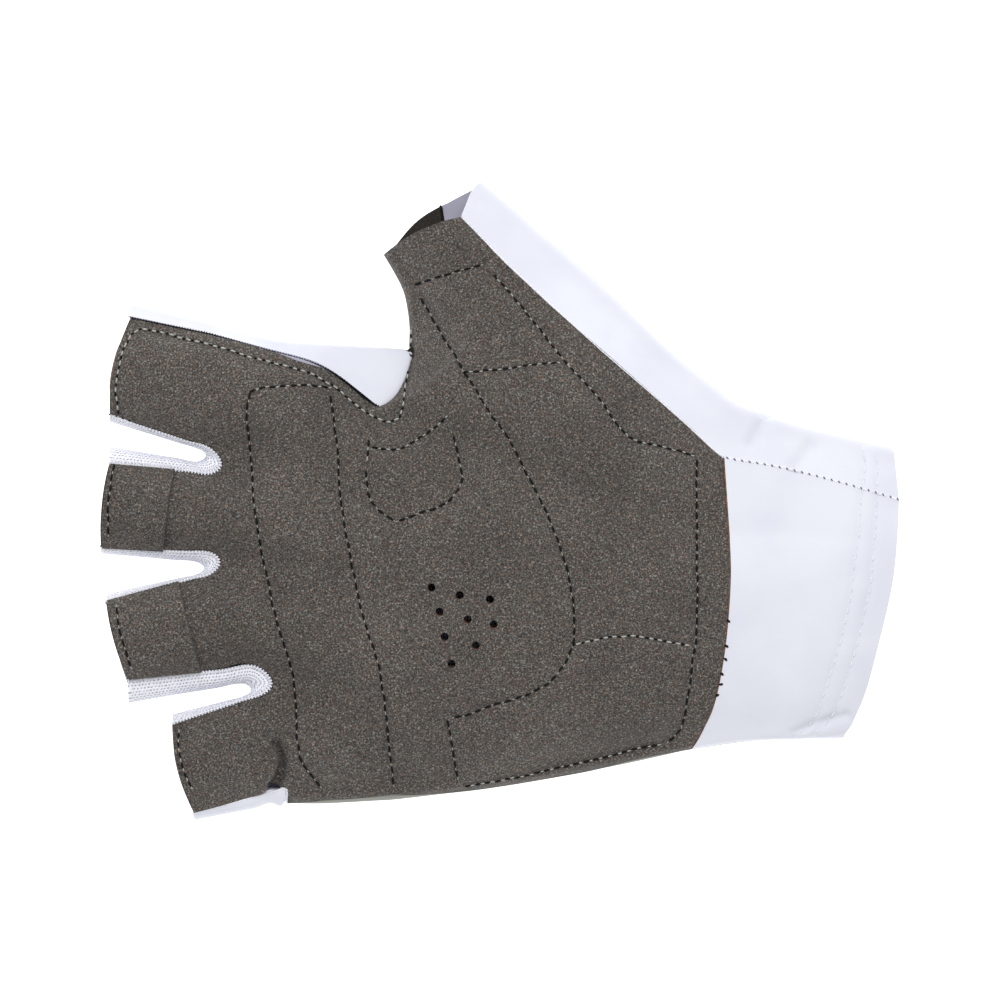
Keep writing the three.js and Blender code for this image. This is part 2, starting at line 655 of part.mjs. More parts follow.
// Side bands: each is cut into pieces by how far down it goes
markHem(addSideBand(ulnarCuff, (j, i) => (i < 2 ? 'cuff_palm_panel' : 'back_lycra')));
const trimmed = (j, i) => ['palm_suede', 'palm_suede', 'side_strip', 'side_strip', 'back_lycra'][i];
const trimShares = (reach) => [0, reach / 2, reach, (reach + STRIP_END) / 2, STRIP_END, 1];
addSideBand(ulnarHeel, trimmed, (j) => trimShares(HEEL_SUEDE_REACH[j]));
addSideBand(ulnarHand, trimmed, (j) => trimShares(HAND_SUEDE_REACH[j]));
addSideBand(fingers.little.lowSide, () => 'back_lycra');
addSideBand(webHand, () => 'back_lycra');
addSideBand(webFinger, () => 'back_lycra');
addSideBand(crotchThumb, () => 'palm_suede');
addSideBand(radialThumb, () => 'back_lycra');
addSideBand(radialHeel, () => 'back_lycra');
markHem(addSideBand(radialCuff, () => 'back_lycra'));
crotchStations.forEach(({ name, upper, point, lower }, i) => {
  const mesh = `fourchette_${name}`;
  const above = fingers[FINGERTIPS[i].name];
  const below = fingers[FINGERTIPS[i + 1].name];
  const pieceOf = (j, n) => (n < 3 ? mesh : 'back_lycra');
  addSideBand(above.lowSide, pieceOf);
  addSideBand([upper, point, lower], pieceOf);
  addSideBand(below.highSide, pieceOf);
});

// Outward direction at each point, before and after the folds
function pointNormals() {
  const sums = points.map(() => new THREE.Vector3());
  cells.forEach((cell) => {
    const normal = cellNormal(cell.corners);
    cell.corners.forEach((corner) => sums[corner].add(normal));
  });
  return sums.map((sum) => sum.normalize());
}

// Folds only move the upper sheet, and less the nearer it is to the sides
function foldUpperSheet() {
  const normals = pointNormals();
  points.forEach((point, n) => {
    const facingUp = Math.max(0, normals[n].z);
    FOLDS.forEach((fold) => {
      const from = onPalm(fold.fromAlong, fold.fromAcross);
      const to = onPalm(fold.toAlong, fold.toAcross);
      const line = new THREE.Line3(from, to);
      const nearest = line.closestPointToPoint(atHeight(point, 0), true, new THREE.Vector3());
      const away = nearest.distanceTo(atHeight(point, 0)) / fold.halfWidth;
      point.z -= fold.depth * facingUp * Math.exp(-away * away);
    });
  });
}

foldUpperSheet();
const normals = pointNormals();

// How much further a corner moves so that the cloth keeps its thickness where the surface turns
const faceSpread = points.map(() => ({ sum: 0, count: 0 }));
cells.forEach((cell) => {
  const normal = cellNormal(cell.corners).normalize();
  cell.corners.forEach((corner) => {
    faceSpread[corner].sum += normal.dot(normals[corner]);
    faceSpread[corner].count += 1;
  });
});
const turnFactor = faceSpread.map(({ sum, count }) => 1 / Math.max(SHARPEST_TURN, sum / count));

function edgeKey(a, b) {
  return a < b ? `${a} ${b}` : `${b} ${a}`;
}

// A closed solid of some cells: drawn back from its own border, then thickened
function clothGeometry(ownCells, outerLift, innerLift, drawBack) {
  const edges = new Map();
  ownCells.forEach((cell) => cell.corners.forEach((corner, i) => {
    const next = cell.corners[(i + 1) % 4];
    const key = edgeKey(corner, next);
    edges.set(key, [...(edges.get(key) ?? []), { corner, next, cell }]);
  }));
  const border = [...edges.values()].filter((uses) => uses.length === 1).map((uses) => uses[0]);

  const pulls = new Map();
  border.forEach(({ corner, next, cell }) => {
    const middle = between(points[corner], points[next], 0.5);
    const centre = cell.corners.reduce(
      (sum, id) => sum.addScaledVector(points[id], 0.25), new THREE.Vector3());
    const along = points[next].clone().sub(points[corner]).normalize();
    const inward = centre.sub(middle);
    inward.addScaledVector(along, -inward.dot(along)).normalize();
    [corner, next].forEach((id) => pulls.set(id, [...(pulls.get(id) ?? []), inward]));
  });

  const used = [...new Set(ownCells.flatMap((cell) => cell.corners))];
  const local = new Map(used.map((id, i) => [id, i]));
  const outer = [];
  const inner = [];
  used.forEach((id) => {
    const place = points[id].clone();
    const pull = pulls.get(id);
    if (pull) {
      const sum = pull.reduce((total, each) => total.add(each), new THREE.Vector3());
      const share = Math.max(0.4, 1 + pull[0].dot(pull[pull.length - 1]));
      place.addScaledVector(sum, drawBack * turnFactor[id] / share);
    }
    outer.push(place.clone().addScaledVector(normals[id], outerLift));
    inner.push(place.clone().addScaledVector(normals[id], -innerLift(id) * turnFactor[id]));
  });

  const positions = [...outer, ...inner].flatMap((point) => point.toArray());
  const offset = outer.length;
  const index = [];
  ownCells.forEach((cell) => {
    const [a, b, c, d] = cell.corners.map((id) => local.get(id));
    index.push(a, b, c, a, c, d);
    index.push(offset + a, offset + c, offset + b, offset + a, offset + d, offset + c);
  });
  border.forEach(({ corner, next }) => {
    const a = local.get(corner);
    const b = local.get(next);
    index.push(a, offset + a, b, b, offset + a, offset + b);
  });
  const geometry = new THREE.BufferGeometry();
  geometry.setAttribute('position', new THREE.Float32BufferAttribute(positions, 3));
  geometry.setIndex(index);
  return geometry;
}

function clothPiece(piece, thickness) {
  const own = cells.filter((cell) => cell.piece === piece);
  const thicknessAt = (id) => (hemPoints.has(id) ? HEM_THICKNESS : thickness);
  return clothGeometry(own, 0, thicknessAt, SEAM_GAP / 2);
}

// Vent holes are cut straight down through the suede
const wasm = await Module();
wasm.setup();

function toSolid(geometry) {
  return new wasm.Manifold(new wasm.Mesh({
    numProp: 3,
    vertProperties: new Float32Array(geometry.attributes.position.array),
    triVerts: new Uint32Array(geometry.index.array),
  }));
}

function ventGeometry(vent) {
  const drill = new THREE.CylinderGeometry(
    VENT_DIAMETER / 2, VENT_DIAMETER / 2, PALM_HEIGHT * 2, VENT_SIDES, 1);
  drill.rotateX(Math.PI / 2);
  const centre = onPalm(vent.along, vent.across, PALM_HEIGHT * 1.3);
  drill.translate(centre.x, centre.y, centre.z);
  drill.deleteAttribute('normal');
  drill.deleteAttribute('uv');
  return mergeVertices(drill);
}

function withVents(geometry) {
  let solid = toSolid(geometry);
  VENTS.forEach((vent) => {
    const drill = ventGeometry(vent);
    solid = solid.subtract(toSolid(drill));
  });
  const cut = solid.getMesh();
  const result = new THREE.BufferGeometry();
  result.setAttribute('position', new THREE.Float32BufferAttribute(cut.vertProperties, 3));
  result.setIndex(new THREE.Uint32BufferAttribute(cut.triVerts, 1));
  return result;
}

// A pull tab lies on the front of a fingertip, a little above it
function pullTab(finger) {
  return clothGeometry(
    frontCells.get(finger), LAYER_GAP + TAB_THICKNESS, () => -LAYER_GAP, TAB_EDGE_INSET);
}

const material = (color, roughness) => new THREE.MeshStandardMaterial({
  color, roughness, metalness: 0, side: THREE.FrontSide,
});
const suede = material('#5a5551', 0.95);
const trim = material('#77776e', 0.7);
const lycra = material('#e4e5ef', 0.75);
const netting = material('#eceef5', 0.9);

const pieces = [
  ['palm_suede', withVents(clothPiece('palm_suede', SUEDE_THICKNESS)), suede],
  ['side_strip', clothPiece('side_strip', LYCRA_THICKNESS), trim],
  ['pull_tab_middle', pullTab('middle'), suede],
  ['pull_tab_ring', pullTab('ring'), suede],
  ['fourchette_index_middle', clothPiece('fourchette_index_middle', MESH_THICKNESS), netting],
  ['fourchette_middle_ring', clothPiece('fourchette_middle_ring', MESH_THICKNESS), netting],
  ['fourchette_ring_little', clothPiece('fourchette_ring_little', MESH_THICKNESS), netting],
  ['cuff_palm_panel', clothPiece('cuff_palm_panel', LYCRA_THICKNESS), lycra],
  ['back_lycra', clothPiece('back_lycra', LYCRA_THICKNESS), lycra],
];

const glove = new THREE.Group();
const box = new THREE.Box3();
pieces.forEach(([name, geometry, look]) => {
  const mesh = new THREE.Mesh(geometry, look);
  mesh.name = name;
  glove.add(mesh);
  geometry.computeBoundingBox();
  box.union(geometry.boundingBox);
});
const middle = box.getCenter(new THREE.Vector3());
glove.position.set(-middle.x, -middle.y, -box.min.z);

export default glove;
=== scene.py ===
# %% [markdown]
# # A half-finger cycling glove, palm up
#
# The glove lies flat on its back. The palm is brown-grey synthetic suede, quilted over thin pads. The
# back, the thumb band and the long cuff are white stretch lycra, and the strips between the fingers are
# white mesh. Every cloth piece starts as its solid from the frame, which already has the true outline
# and height. Here it is made smooth, given its stitched relief, its thickness and its finish.

import math
import random

import bmesh
import bpy
import numpy as np
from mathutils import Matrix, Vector, noise
from mathutils.bvhtree import BVHTree
from mathutils.kdtree import KDTree


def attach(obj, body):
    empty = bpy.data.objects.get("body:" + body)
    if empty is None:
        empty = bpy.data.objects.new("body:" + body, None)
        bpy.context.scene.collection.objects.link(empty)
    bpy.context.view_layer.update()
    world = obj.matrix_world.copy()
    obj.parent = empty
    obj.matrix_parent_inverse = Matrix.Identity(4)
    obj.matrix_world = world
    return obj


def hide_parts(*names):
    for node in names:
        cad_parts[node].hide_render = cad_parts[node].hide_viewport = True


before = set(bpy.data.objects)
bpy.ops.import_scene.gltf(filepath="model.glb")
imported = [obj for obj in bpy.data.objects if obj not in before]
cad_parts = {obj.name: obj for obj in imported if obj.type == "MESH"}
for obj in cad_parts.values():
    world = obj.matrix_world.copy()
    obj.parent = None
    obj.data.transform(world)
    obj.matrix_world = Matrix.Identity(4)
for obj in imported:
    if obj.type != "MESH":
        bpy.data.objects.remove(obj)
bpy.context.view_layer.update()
MM = 0.001
print("frame:", sorted(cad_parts))

# %% [markdown]
# ## Camera
#
# The glove is seen from straight above, square on, with no wide-angle stretching. A long lens far away
# gives that. The picture is 220 mm wide at the height of the suede.

# %% Camera
PICTURE_WIDTH = 220 * MM
SEEN_HEIGHT = 6 * MM
LENS = 300
SENSOR = 36
DISTANCE = PICTURE_WIDTH * LENS / SENSOR
PICTURE_MIDDLE = 0.1 * MM

bpy.ops.object.camera_add(location=(0, PICTURE_MIDDLE, SEEN_HEIGHT + DISTANCE), rotation=(0, 0, 0))
camera = bpy.context.object
camera.data.lens = LENS
camera.data.sensor_width = SENSOR
bpy.context.scene.camera = camera
print("camera height:", round(camera.location.z, 3), "m")

# %% [markdown]
# ## Smooth cloth from the solids
#
# A solid from the frame is a closed shell of loose triangles: an outer wall, an inner wall and the cut
# edges between them. Only the outer wall is needed, because the thickness is put back at the end, when
# all dents are in. The cut edges turn by about a right angle, so sharp edges part the walls, and the
# outer wall is the largest of the parts. Subdivision then rounds it as stretched cloth is.

# %% Helpers for cloth
QUAD_ANGLE = math.radians(52)
CUT_EDGE_ANGLE = math.radians(64)
SUEDE_EDGE_ANGLE = math.radians(76)
QUAD_SKEW = math.radians(120)
WELD = 0.02 * MM
VENT_WALL_REACH = 1.2
STEEP = 0.6


def only(piece):
    if bpy.context.object and bpy.context.object.mode != "OBJECT":
        bpy.ops.object.mode_set(mode="OBJECT")
    bpy.ops.object.select_all(action="DESELECT")
    piece.select_set(True)
    bpy.context.view_layer.objects.active = piece


def copy_of_node(node, name):
    piece = bpy.data.objects.new(name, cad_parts[node].data.copy())
    piece.data.name = name
    piece.data.materials.clear()
    bpy.context.scene.collection.objects.link(piece)
    only(piece)
    bpy.ops.object.mode_set(mode="EDIT")
    bpy.ops.mesh.select_all(action="SELECT")
    bpy.ops.mesh.remove_doubles(threshold=WELD)
    bpy.ops.object.mode_set(mode="OBJECT")
    return piece


def close_vents(piece, places, radius):
    """Take out the walls of the round holes, fill both rims and dissolve their points."""
    only(piece)
    bpy.ops.object.mode_set(mode="EDIT")
    mesh = bmesh.from_edit_mesh(piece.data)
    rims = set()
    walls = []
    for face in mesh.faces:
        middle = face.calc_center_median()
        for x, y in places:
            away = math.hypot(middle.x - x, middle.y - y)
            if away < radius * VENT_WALL_REACH and abs(face.normal.z) < STEEP:
                walls.append(face)
                rims.update(face.verts)
                break
    bmesh.ops.delete(mesh, geom=walls, context="FACES")
    edges = [e for e in mesh.edges if e.is_boundary]
    filled = bmesh.ops.holes_fill(mesh, edges=edges, sides=0)["faces"]
    print("vent rims filled:", len(filled))
    bmesh.ops.dissolve_verts(mesh, verts=[v for v in rims if v.is_valid])
    bmesh.update_edit_mesh(piece.data)
    bpy.ops.object.mode_set(mode="OBJECT")


def outer_wall(piece, turn):
    """Quads instead of triangles, and only the largest part between sharp edges."""
    only(piece)
    bpy.ops.object.mode_set(mode="EDIT")
    bpy.ops.mesh.select_all(action="SELECT")
    bpy.ops.mesh.tris_convert_to_quads(face_threshold=QUAD_ANGLE, shape_threshold=QUAD_SKEW)
    mesh = bmesh.from_edit_mesh(piece.data)
    waiting = set(mesh.faces)
    largest = []
    largest_area = 0
    while waiting:
        part = [waiting.pop()]
        for face in part:
            for edge in face.edges:
                if len(edge.link_faces) == 2 and edge.calc_face_angle_signed() < turn:
                    for other in edge.link_faces:
                        if other in waiting:
                            waiting.remove(other)
                            part.append(other)
        area = sum(face.calc_area() for face in part)
        if area > largest_area:
            largest_area = area
            largest = part
    kept = set(largest)
    bmesh.ops.delete(mesh, geom=[f for f in mesh.faces if f not in kept], context="FACES")
    bmesh.update_edit_mesh(piece.data)
    bpy.ops.object.mode_set(mode="OBJECT")
    sides = [len(p.vertices) for p in piece.data.polygons]
    print(piece.name, len(sides), "faces, of which not quads:", sum(n != 4 for n in sides))


# %% [markdown]
# ## Where the stitching and the folds lie
#
# The pads under the suede show only by the rows of stitches that hold them. Each row is listed once,
# as a few points in millimetres on the flat glove, and is used twice: first to press a groove into the
# suede, then to lay the thread in it. The thread is a dark one twisted with a pale one, and the tension
# decides which of them shows.

# %% Rows of stitches on the suede
STITCH_ROWS = {
    "palm_and_web_edge": ("pale", [
        (-83.7, 18.9), (-84.2, 24.0), (-83.3, 29.9), (-81.8, 34.5), (-79.2, 37.5), (-70.4, 35.8),
        (-61.2, 33.4), (-51.1, 30.4), (-42.2, 28.1), (-35.9, 24.6), (-30.6, 20.1), (-25.7, 17.4),
        (-22.2, 17.8), (-21.3, 21.0), (-20.5, 26.8), (-19.6, 33.4), (-19.4, 38.7)]),
    "band_top": ("mixed", [(-54.8, 23.7), (-51.1, 24.8), (-45.3, 25.1), (-42.2, 25.3), (-37.0, 24.6)]),
    "band_finger_side": ("dark", [
        (-54.8, 23.7), (-55.4, 18.0), (-54.8, 11.0), (-53.9, 0.9), (-52.4, -9.9), (-49.5, -24.2),
        (-47.5, -30.4), (-45.6, -37.6), (-44.7, -45.1), (-44.4, -52.4), (-43.6, -56.8),
        (-41.1, -60.7), (-38.3, -64.2)]),
    "band_palm_side": ("dark", [
        (-37.2, 22.9), (-36.4, 18.0), (-35.5, 9.2), (-35.0, 0.9), (-32.8, -12.1), (-30.8, -22.2),
        (-28.8, -29.1), (-26.6, -35.7), (-25.5, -42.5), (-24.4, -51.9), (-23.3, -64.0)]),
    "centre_tack": ("mixed", [(-28.6, 13.4), (-29.3, 7.5)]),
    "centre_top": ("mixed", [
        (-28.2, 11.6), (-25.1, 11.2), (-21.8, 11.2), (-19.8, 12.3), (-15.2, 15.2), (-11.4, 18.7)]),
    "centre_right": ("dark", [
        (-10.1, 14.1), (-8.8, 8.1), (-8.1, 5.7), (-8.6, 3.1), (-12.1, -0.9), (-17.8, -2.9),
        (-22.9, -4.6)]),
    "centre_left": ("dark", [(-29.3, 6.6), (-28.8, 1.5), (-27.1, -1.7), (-22.9, -4.6)]),
    "thumb_top": ("dark", [(-18.7, 47.5), (-11.0, 49.7), (-3.5, 51.7)]),
    "thumb_outer_side": ("mixed", [
        (-1.4, 49.5), (2.9, 44.6), (8.0, 38.3), (13.6, 31.2), (17.6, 26.8), (21.8, 22.2),
        (25.1, 17.1), (28.6, 13.6), (32.3, 12.5), (37.2, 11.4), (42.7, 9.7)]),
    "thumb_crotch_side": ("dark", [
        (-17.4, 44.6), (-15.0, 40.3), (-11.9, 35.0), (-9.5, 31.1), (-8.1, 28.1)]),
    "thumb_bottom": ("mixed", [
        (-8.1, 28.1), (-3.5, 28.4), (2.9, 29.0), (7.5, 29.7), (13.3, 30.3)]),
    "ball_of_thumb": ("dark", [
        (-8.1, 28.1), (-6.2, 25.8), (-3.5, 21.3), (-0.2, 16.4), (2.4, 12.5), (6.6, 4.4),
        (9.9, -2.2), (13.6, -11.7), (15.2, -17.8), (16.1, -24.0), (16.3, -29.5), (15.2, -33.5),
        (13.0, -37.4), (9.7, -40.5), (3.5, -43.4), (-2.2, -44.9), (-6.6, -46.7), (-11.7, -48.0)]),
    "heel_left": ("dark", [(-11.7, -48.0), (-10.6, -52.6), (-9.7, -59.2), (-8.8, -62.5)]),
    "heel_right": ("dark", [
        (43.1, 9.0), (43.1, 3.5), (43.1, -6.4), (43.1, -18.5), (42.9, -31.9), (42.2, -33.5),
        (41.6, -40.3), (40.0, -49.1), (38.5, -51.5), (36.5, -53.3)]),
    "heel_branch": ("pale", [
        (15.8, -31.7), (19.8, -30.6), (25.3, -29.8), (29.9, -29.7), (34.3, -30.4), (40.0, -31.5),
        (42.5, -31.9)]),
    "little_finger_side": ("mixed", [
        (-7.7, -62.8), (-1.5, -61.8), (6.4, -60.2), (14.7, -58.3), (23.1, -56.4), (28.8, -54.8),
        (36.5, -53.5)]),
    "hem_middle": ("dark", [(-84.5, 7.9), (-85.4, 2.2), (-85.7, -2.4), (-85.8, -9.0)]),
    "hem_ring": ("dark", [
        (-84.3, -21.1), (-83.6, -26.9), (-82.7, -30.4), (-81.3, -35.0), (-80.1, -38.1)]),
    "hem_little": ("mixed", [(-70.4, -48.8), (-70.4, -53.6), (-69.3, -59.0), (-66.9, -64.3)]),
}
CUFF_ROWS = {
    "hem_inner": [
        (79.9, 12.3), (80.2, 6.6), (79.0, -1.3), (78.8, -6.4), (77.7, -13.7), (77.0, -20.0),
        (75.0, -29.5), (73.3, -35.4), (71.1, -42.5), (68.9, -48.4), (65.1, -51.7)],
    "hem_outer": [
        (82.9, 9.4), (82.7, -1.3), (81.6, -13.7), (81.2, -19.2), (80.1, -22.9), (78.8, -29.5),
        (77.3, -35.0), (75.2, -41.9), (72.9, -47.5), (68.9, -51.9)],
}
VENTS = [
    (-15.0, -19.0), (-8.8, -20.7), (-2.2, -21.6), (-13.2, -24.3), (-7.1, -26.0), (-1.4, -27.1),
    (-12.1, -29.8), (-5.3, -31.7), (-10.6, -35.7)]
VENT_RADIUS = 0.9 * MM


BITS_PER_SPAN = 24


def smooth_line(points, step):
    """Evenly spaced places, in metres, on a smooth curve through the points, in millimetres."""
    given = np.array(points, float) * MM
    ends = np.vstack([2 * given[0] - given[1], given, 2 * given[-1] - given[-2]])
    share = np.linspace(0, 1, BITS_PER_SPAN, endpoint=False)[:, None]
    bits = []
    for a, b, c, d in zip(ends, ends[1:], ends[2:], ends[3:]):
        bits.append(
            b + share * ((c - a) / 2 + share * ((2 * a - 5 * b + 4 * c - d) / 2
            + share * (3 * b - a - 3 * c + d) / 2))
        )
    curve = np.vstack(bits + [given[-1:]])
    along = np.concatenate([[0], np.cumsum(np.linalg.norm(np.diff(curve, axis=0), axis=1))])
    count = max(2, int(round(along[-1] / step)) + 1)
    wanted = np.linspace(0, along[-1], count)
    return np.column_stack([np.interp(wanted, along, curve[:, k]) for k in range(2)])


print("rows:", len(STITCH_ROWS) + len(CUFF_ROWS), "vents:", len(VENTS))

# %% [markdown]
# ## Pressing dents into cloth
#
# A dent follows a line on the flat glove. Every point of the outer wall within reach of the line is
# moved in along its own normal, deepest on the line and fading out smoothly. A raised fold is the same
# with the sign turned round. Some edges are also drawn sideways, and a tight fold is noted for the finish.

# %% Helpers for relief
FOLD_SHADE = "fold_shade"
LINE_STEP = 0.3 * MM
LIFTED = 4 * MM


def arrays_of(piece):
    count = len(piece.data.vertices)
    places = np.empty(count * 3)
    normals = np.empty(count * 3)
    piece.data.vertices.foreach_get("co", places)
    piece.data.vertices.foreach_get("normal", normals)
    return places.reshape(-1, 3), normals.reshape(-1, 3)


def move_to(piece, places):
    piece.data.vertices.foreach_set("co", places.ravel())
    piece.data.update()


def press(piece, lines, depth, width, offset=(0, 0)):
    """Dent the side that faces up along lines of points. The lines and the offset are in mm."""
    samples = np.vstack([smooth_line(line, LINE_STEP) for line in lines]) + np.array(offset) * MM
    tree = KDTree(len(samples))
    for number, (x, y) in enumerate(samples):
        tree.insert((x, y, 0), number)
    tree.balance()
    places, normals = arrays_of(piece)
    near = np.array([tree.find((x, y, 0))[2] for x, y, z in places])
    facing = np.clip(normals[:, 2] * 2.5 + 0.1, 0, 1)
    move = depth * np.exp(-((near / width) ** 2)) * facing
    move_to(piece, places - normals * move[:, None])


def tuck(piece, tucks):
    """Draw the cloth sideways round some places: (x, y), how wide, and how far along x and y, in mm."""
    places, normals = arrays_of(piece)
    for (x, y), width, (aside_x, aside_y) in tucks:
        away = np.hypot(places[:, 0] - x * MM, places[:, 1] - y * MM) / (width * MM)
        share = np.exp(-(away**2))[:, None]
        places = places + share * np.array([aside_x, aside_y, 0]) * MM
    move_to(piece, places)


def rest_on_floor(piece):
    """Flatten the cloth where it would reach below the surface that it lies on."""
    places, normals = arrays_of(piece)
    places[:, 2] = np.maximum(places[:, 2], 0)
    move_to(piece, places)


def shade_fold(piece, line, width):
    """Note how near each point is to the bottom of a tight fold, where hardly any light comes in."""
    samples = smooth_line(line, LINE_STEP)
    places, normals = arrays_of(piece)
    apart = np.hypot(*(places[:, None, :2] - samples[None]).transpose(2, 0, 1))
    along = np.argmin(apart, axis=1) / len(samples)
    spread = width * (0.4 + 0.6 * np.sin(math.pi * along))
    share = np.exp(-((np.min(apart, axis=1) / spread) ** 2)) * (normals[:, 2] > -0.2)
    layer = piece.data.attributes.new(FOLD_SHADE, "FLOAT", "POINT")
    layer.data.foreach_set("value", share.astype(np.float32))


def ruffle(piece, height, size, seed):
    """A faint, uneven waviness, as soft cloth has that nothing holds flat."""
    places, normals = arrays_of(piece)
    shift = Vector((seed, seed * 2.3, 0))
    wave = [noise.noise(Vector(p) / size + shift) for p in places]
    lifted = np.minimum(1, places[:, 2] / LIFTED)
    move_to(piece, places + normals * (np.array(wave) * height * lifted)[:, None])


FITTING_PASSES = 4
FITTING_REACH = 1.2 * MM


def subdivided(piece, levels):
    """Let the cage out until the smooth wall meets the given points, then subdivide it."""
    only(piece)
    given, normals = arrays_of(piece)
    cage = given.copy()
    smoother = piece.modifiers.new("smooth", "SUBSURF")
    smoother.levels = 1
    smoother.use_limit_surface = True
    smoother.boundary_smooth = "PRESERVE_CORNERS"
    for again in range(FITTING_PASSES):
        smooth = piece.evaluated_get(bpy.context.evaluated_depsgraph_get()).data
        reached = np.array([tuple(v.co) for v in smooth.vertices[:len(given)]])
        cage += given - reached
        away = np.maximum(np.linalg.norm(cage - given, axis=1), FITTING_REACH)[:, None]
        cage = given + (cage - given) * FITTING_REACH / away
        move_to(piece, cage)
    left = np.linalg.norm(given - reached, axis=1)
    worst = int(left.argmax())
    print(piece.name, "left to fit, in mm:", round(left[worst] / MM, 3), "at", (given[worst] / MM).round(1))
    smoother.levels = levels
    smoother.render_levels = levels
    bpy.ops.object.modifier_apply(modifier="smooth")
    bpy.ops.object.shade_smooth()


def cloth_from(node, name, levels=3):
    piece = copy_of_node(node, name)
    if node == "palm_suede":
        close_vents(piece, [(x * MM, y * MM) for x, y in VENTS], VENT_RADIUS)
    outer_wall(piece, SUEDE_EDGE_ANGLE if node == "palm_suede" else CUT_EDGE_ANGLE)
    subdivided(piece, levels)
    return piece


# %% [markdown]
# ## The cloth pieces
#
# All outer walls are made first, so that the seams between them can be read from the meshes before
# any piece gets its thickness.

# %% Outer walls of all pieces
palm = cloth_from("palm_suede", "suede_palm")
back = cloth_from("back_lycra", "lycra_back")
cuff = cloth_from("cuff_palm_panel", "lycra_cuff_panel")
strip = cloth_from("side_strip", "side_strip_cloth")
tabs = [
    cloth_from("pull_tab_middle", "suede_tab_middle"),
    cloth_from("pull_tab_ring", "suede_tab_ring"),
]
gussets = [
    cloth_from("fourchette_index_middle", "mesh_gusset_index_middle"),
    cloth_from("fourchette_middle_ring", "mesh_gusset_middle_ring"),
    cloth_from("fourchette_ring_little", "mesh_gusset_ring_little"),
]


def tree_of(piece):
    return BVHTree.FromPolygons(
        [v.co.copy() for v in piece.data.vertices], [tuple(p.vertices) for p in piece.data.polygons]
    )


SEAM_REACH = 0.9 * MM
SHORTEST_RUN = 7


def shared_edges(piece, other):
    """The runs of the piece's border that lie along another piece, as lists of (place, normal)."""
    mesh = bmesh.new()
    mesh.from_mesh(piece.data)
    near = {}
    for point in mesh.verts:
        if point.is_boundary:
            found = other.find_nearest(point.co, SEAM_REACH)[0]
            if found is not None:
                near[point] = (point.co + found) / 2
    links = {v: [] for v in near}
    for edge in mesh.edges:
        if edge.is_boundary and edge.verts[0] in near and edge.verts[1] in near:
            links[edge.verts[0]].append(edge.verts[1])
            links[edge.verts[1]].append(edge.verts[0])
    runs = []
    left = set(near)
    starts = sorted(near, key=lambda v: (len(links[v]), v.index))
    for start in starts:
        if start not in left:
            continue
        run = [start]
        left.discard(start)
        while True:
            onward = [v for v in links[run[-1]] if v in left]
            if not onward:
                break
            run.append(onward[0])
            left.discard(onward[0])
        runs.append([(near[v], v.normal.copy()) for v in run])
    mesh.free()
    return [run for run in runs if len(run) >= SHORTEST_RUN]


palm_wall = tree_of(palm)
gusset_seams = [shared_edges(gusset, palm_wall) for gusset in gussets]
back_seams = shared_edges(back, palm_wall)
wrist_seams = shared_edges(cuff, palm_wall)
cuff_seams = shared_edges(cuff, tree_of(back))
for name, runs in (
    ("back", back_seams), ("wrist", wrist_seams), ("cuff", cuff_seams), ("gussets", sum(gusset_seams, []))
):
    print(name, "seams in mm:", [
        (round(sum((b[0] - a[0]).length for a, b in zip(run, run[1:])) / MM),
         [round(c / MM) for c in run[0][0]], [round(c / MM) for c in run[-1][0]])
        for run in runs
    ])

# %% [markdown]
# ## Relief of the suede
#
# Each row of stitches pulls the suede down in a narrow groove, and the pad beside it rises slowly from
# a wider hollow. The crease at the root of the little finger is the one deep fold on the palm: the
# suede is pushed together there, so a roll stands up beside it.

# %% Press the palm
GROOVE_DEPTH = 0.45 * MM
GROOVE_WIDTH = 0.6 * MM
HOLLOW_DEPTH = 0.4 * MM
HOLLOW_WIDTH = 3 * MM
LITTLE_CREASE = [(-48.6, -53.0), (-47.6, -55.8), (-47.4, -58.4), (-48.2, -61.2), (-49.8, -63.6)]
LITTLE_HOLLOW = [(-52.0, -44.3), (-51.4, -47.8), (-51.6, -51.8), (-50.8, -56.3)]
INDEX_CREASE = [(-61.2, 28.6), (-60.4, 24.2), (-60.9, 19.8)]
RING_SHADE = [(-58.9, -26.3), (-58.3, -30.8), (-57.8, -35.3)]
# lines, depth and width in mm, and how far to the side in mm
PALM_FOLDS = [
    (LITTLE_CREASE, -1.1, 2.0, -2.6),
    (LITTLE_CREASE, 2.9, 1.0, 0),
    (LITTLE_HOLLOW, 1.2, 1.3, 0),
    (INDEX_CREASE, 0.7, 2.2, 0),
    (RING_SHADE, 0.6, 2.6, 0),
]
# place in mm, how wide in mm, and how far along x and y in mm
SIDE_TUCKS = [((-50.6, -65.6), 2.8, (0, 1.1)), ((-46.8, -66.2), 1.8, (0, 0.8))]
PLEAT_TUCKS = [
    ((-50.8, -65.6), 2.4, (0, 1.1)),
    ((-48.4, -67.0), 1.3, (0.3, -0.9)),
    ((-46.6, -67.2), 1.1, (-0.2, 1.2)),
]
CREASE_SHADE_WIDTH = 0.7 * MM

rows = [points for kind, points in STITCH_ROWS.values()]
quilted = [points for name, (kind, points) in STITCH_ROWS.items() if not name.startswith("hem_")]
ruffle(palm, 0.35 * MM, 14 * MM, 3.1)
press(palm, rows, GROOVE_DEPTH, GROOVE_WIDTH)
press(palm, quilted, HOLLOW_DEPTH, HOLLOW_WIDTH)
for line, depth, width, aside in PALM_FOLDS:
    press(palm, [line], depth * MM, width * MM, offset=(aside, 0))
tuck(palm, SIDE_TUCKS)
shade_fold(palm, LITTLE_CREASE, CREASE_SHADE_WIDTH)
print("palm points:", len(palm.data.vertices))

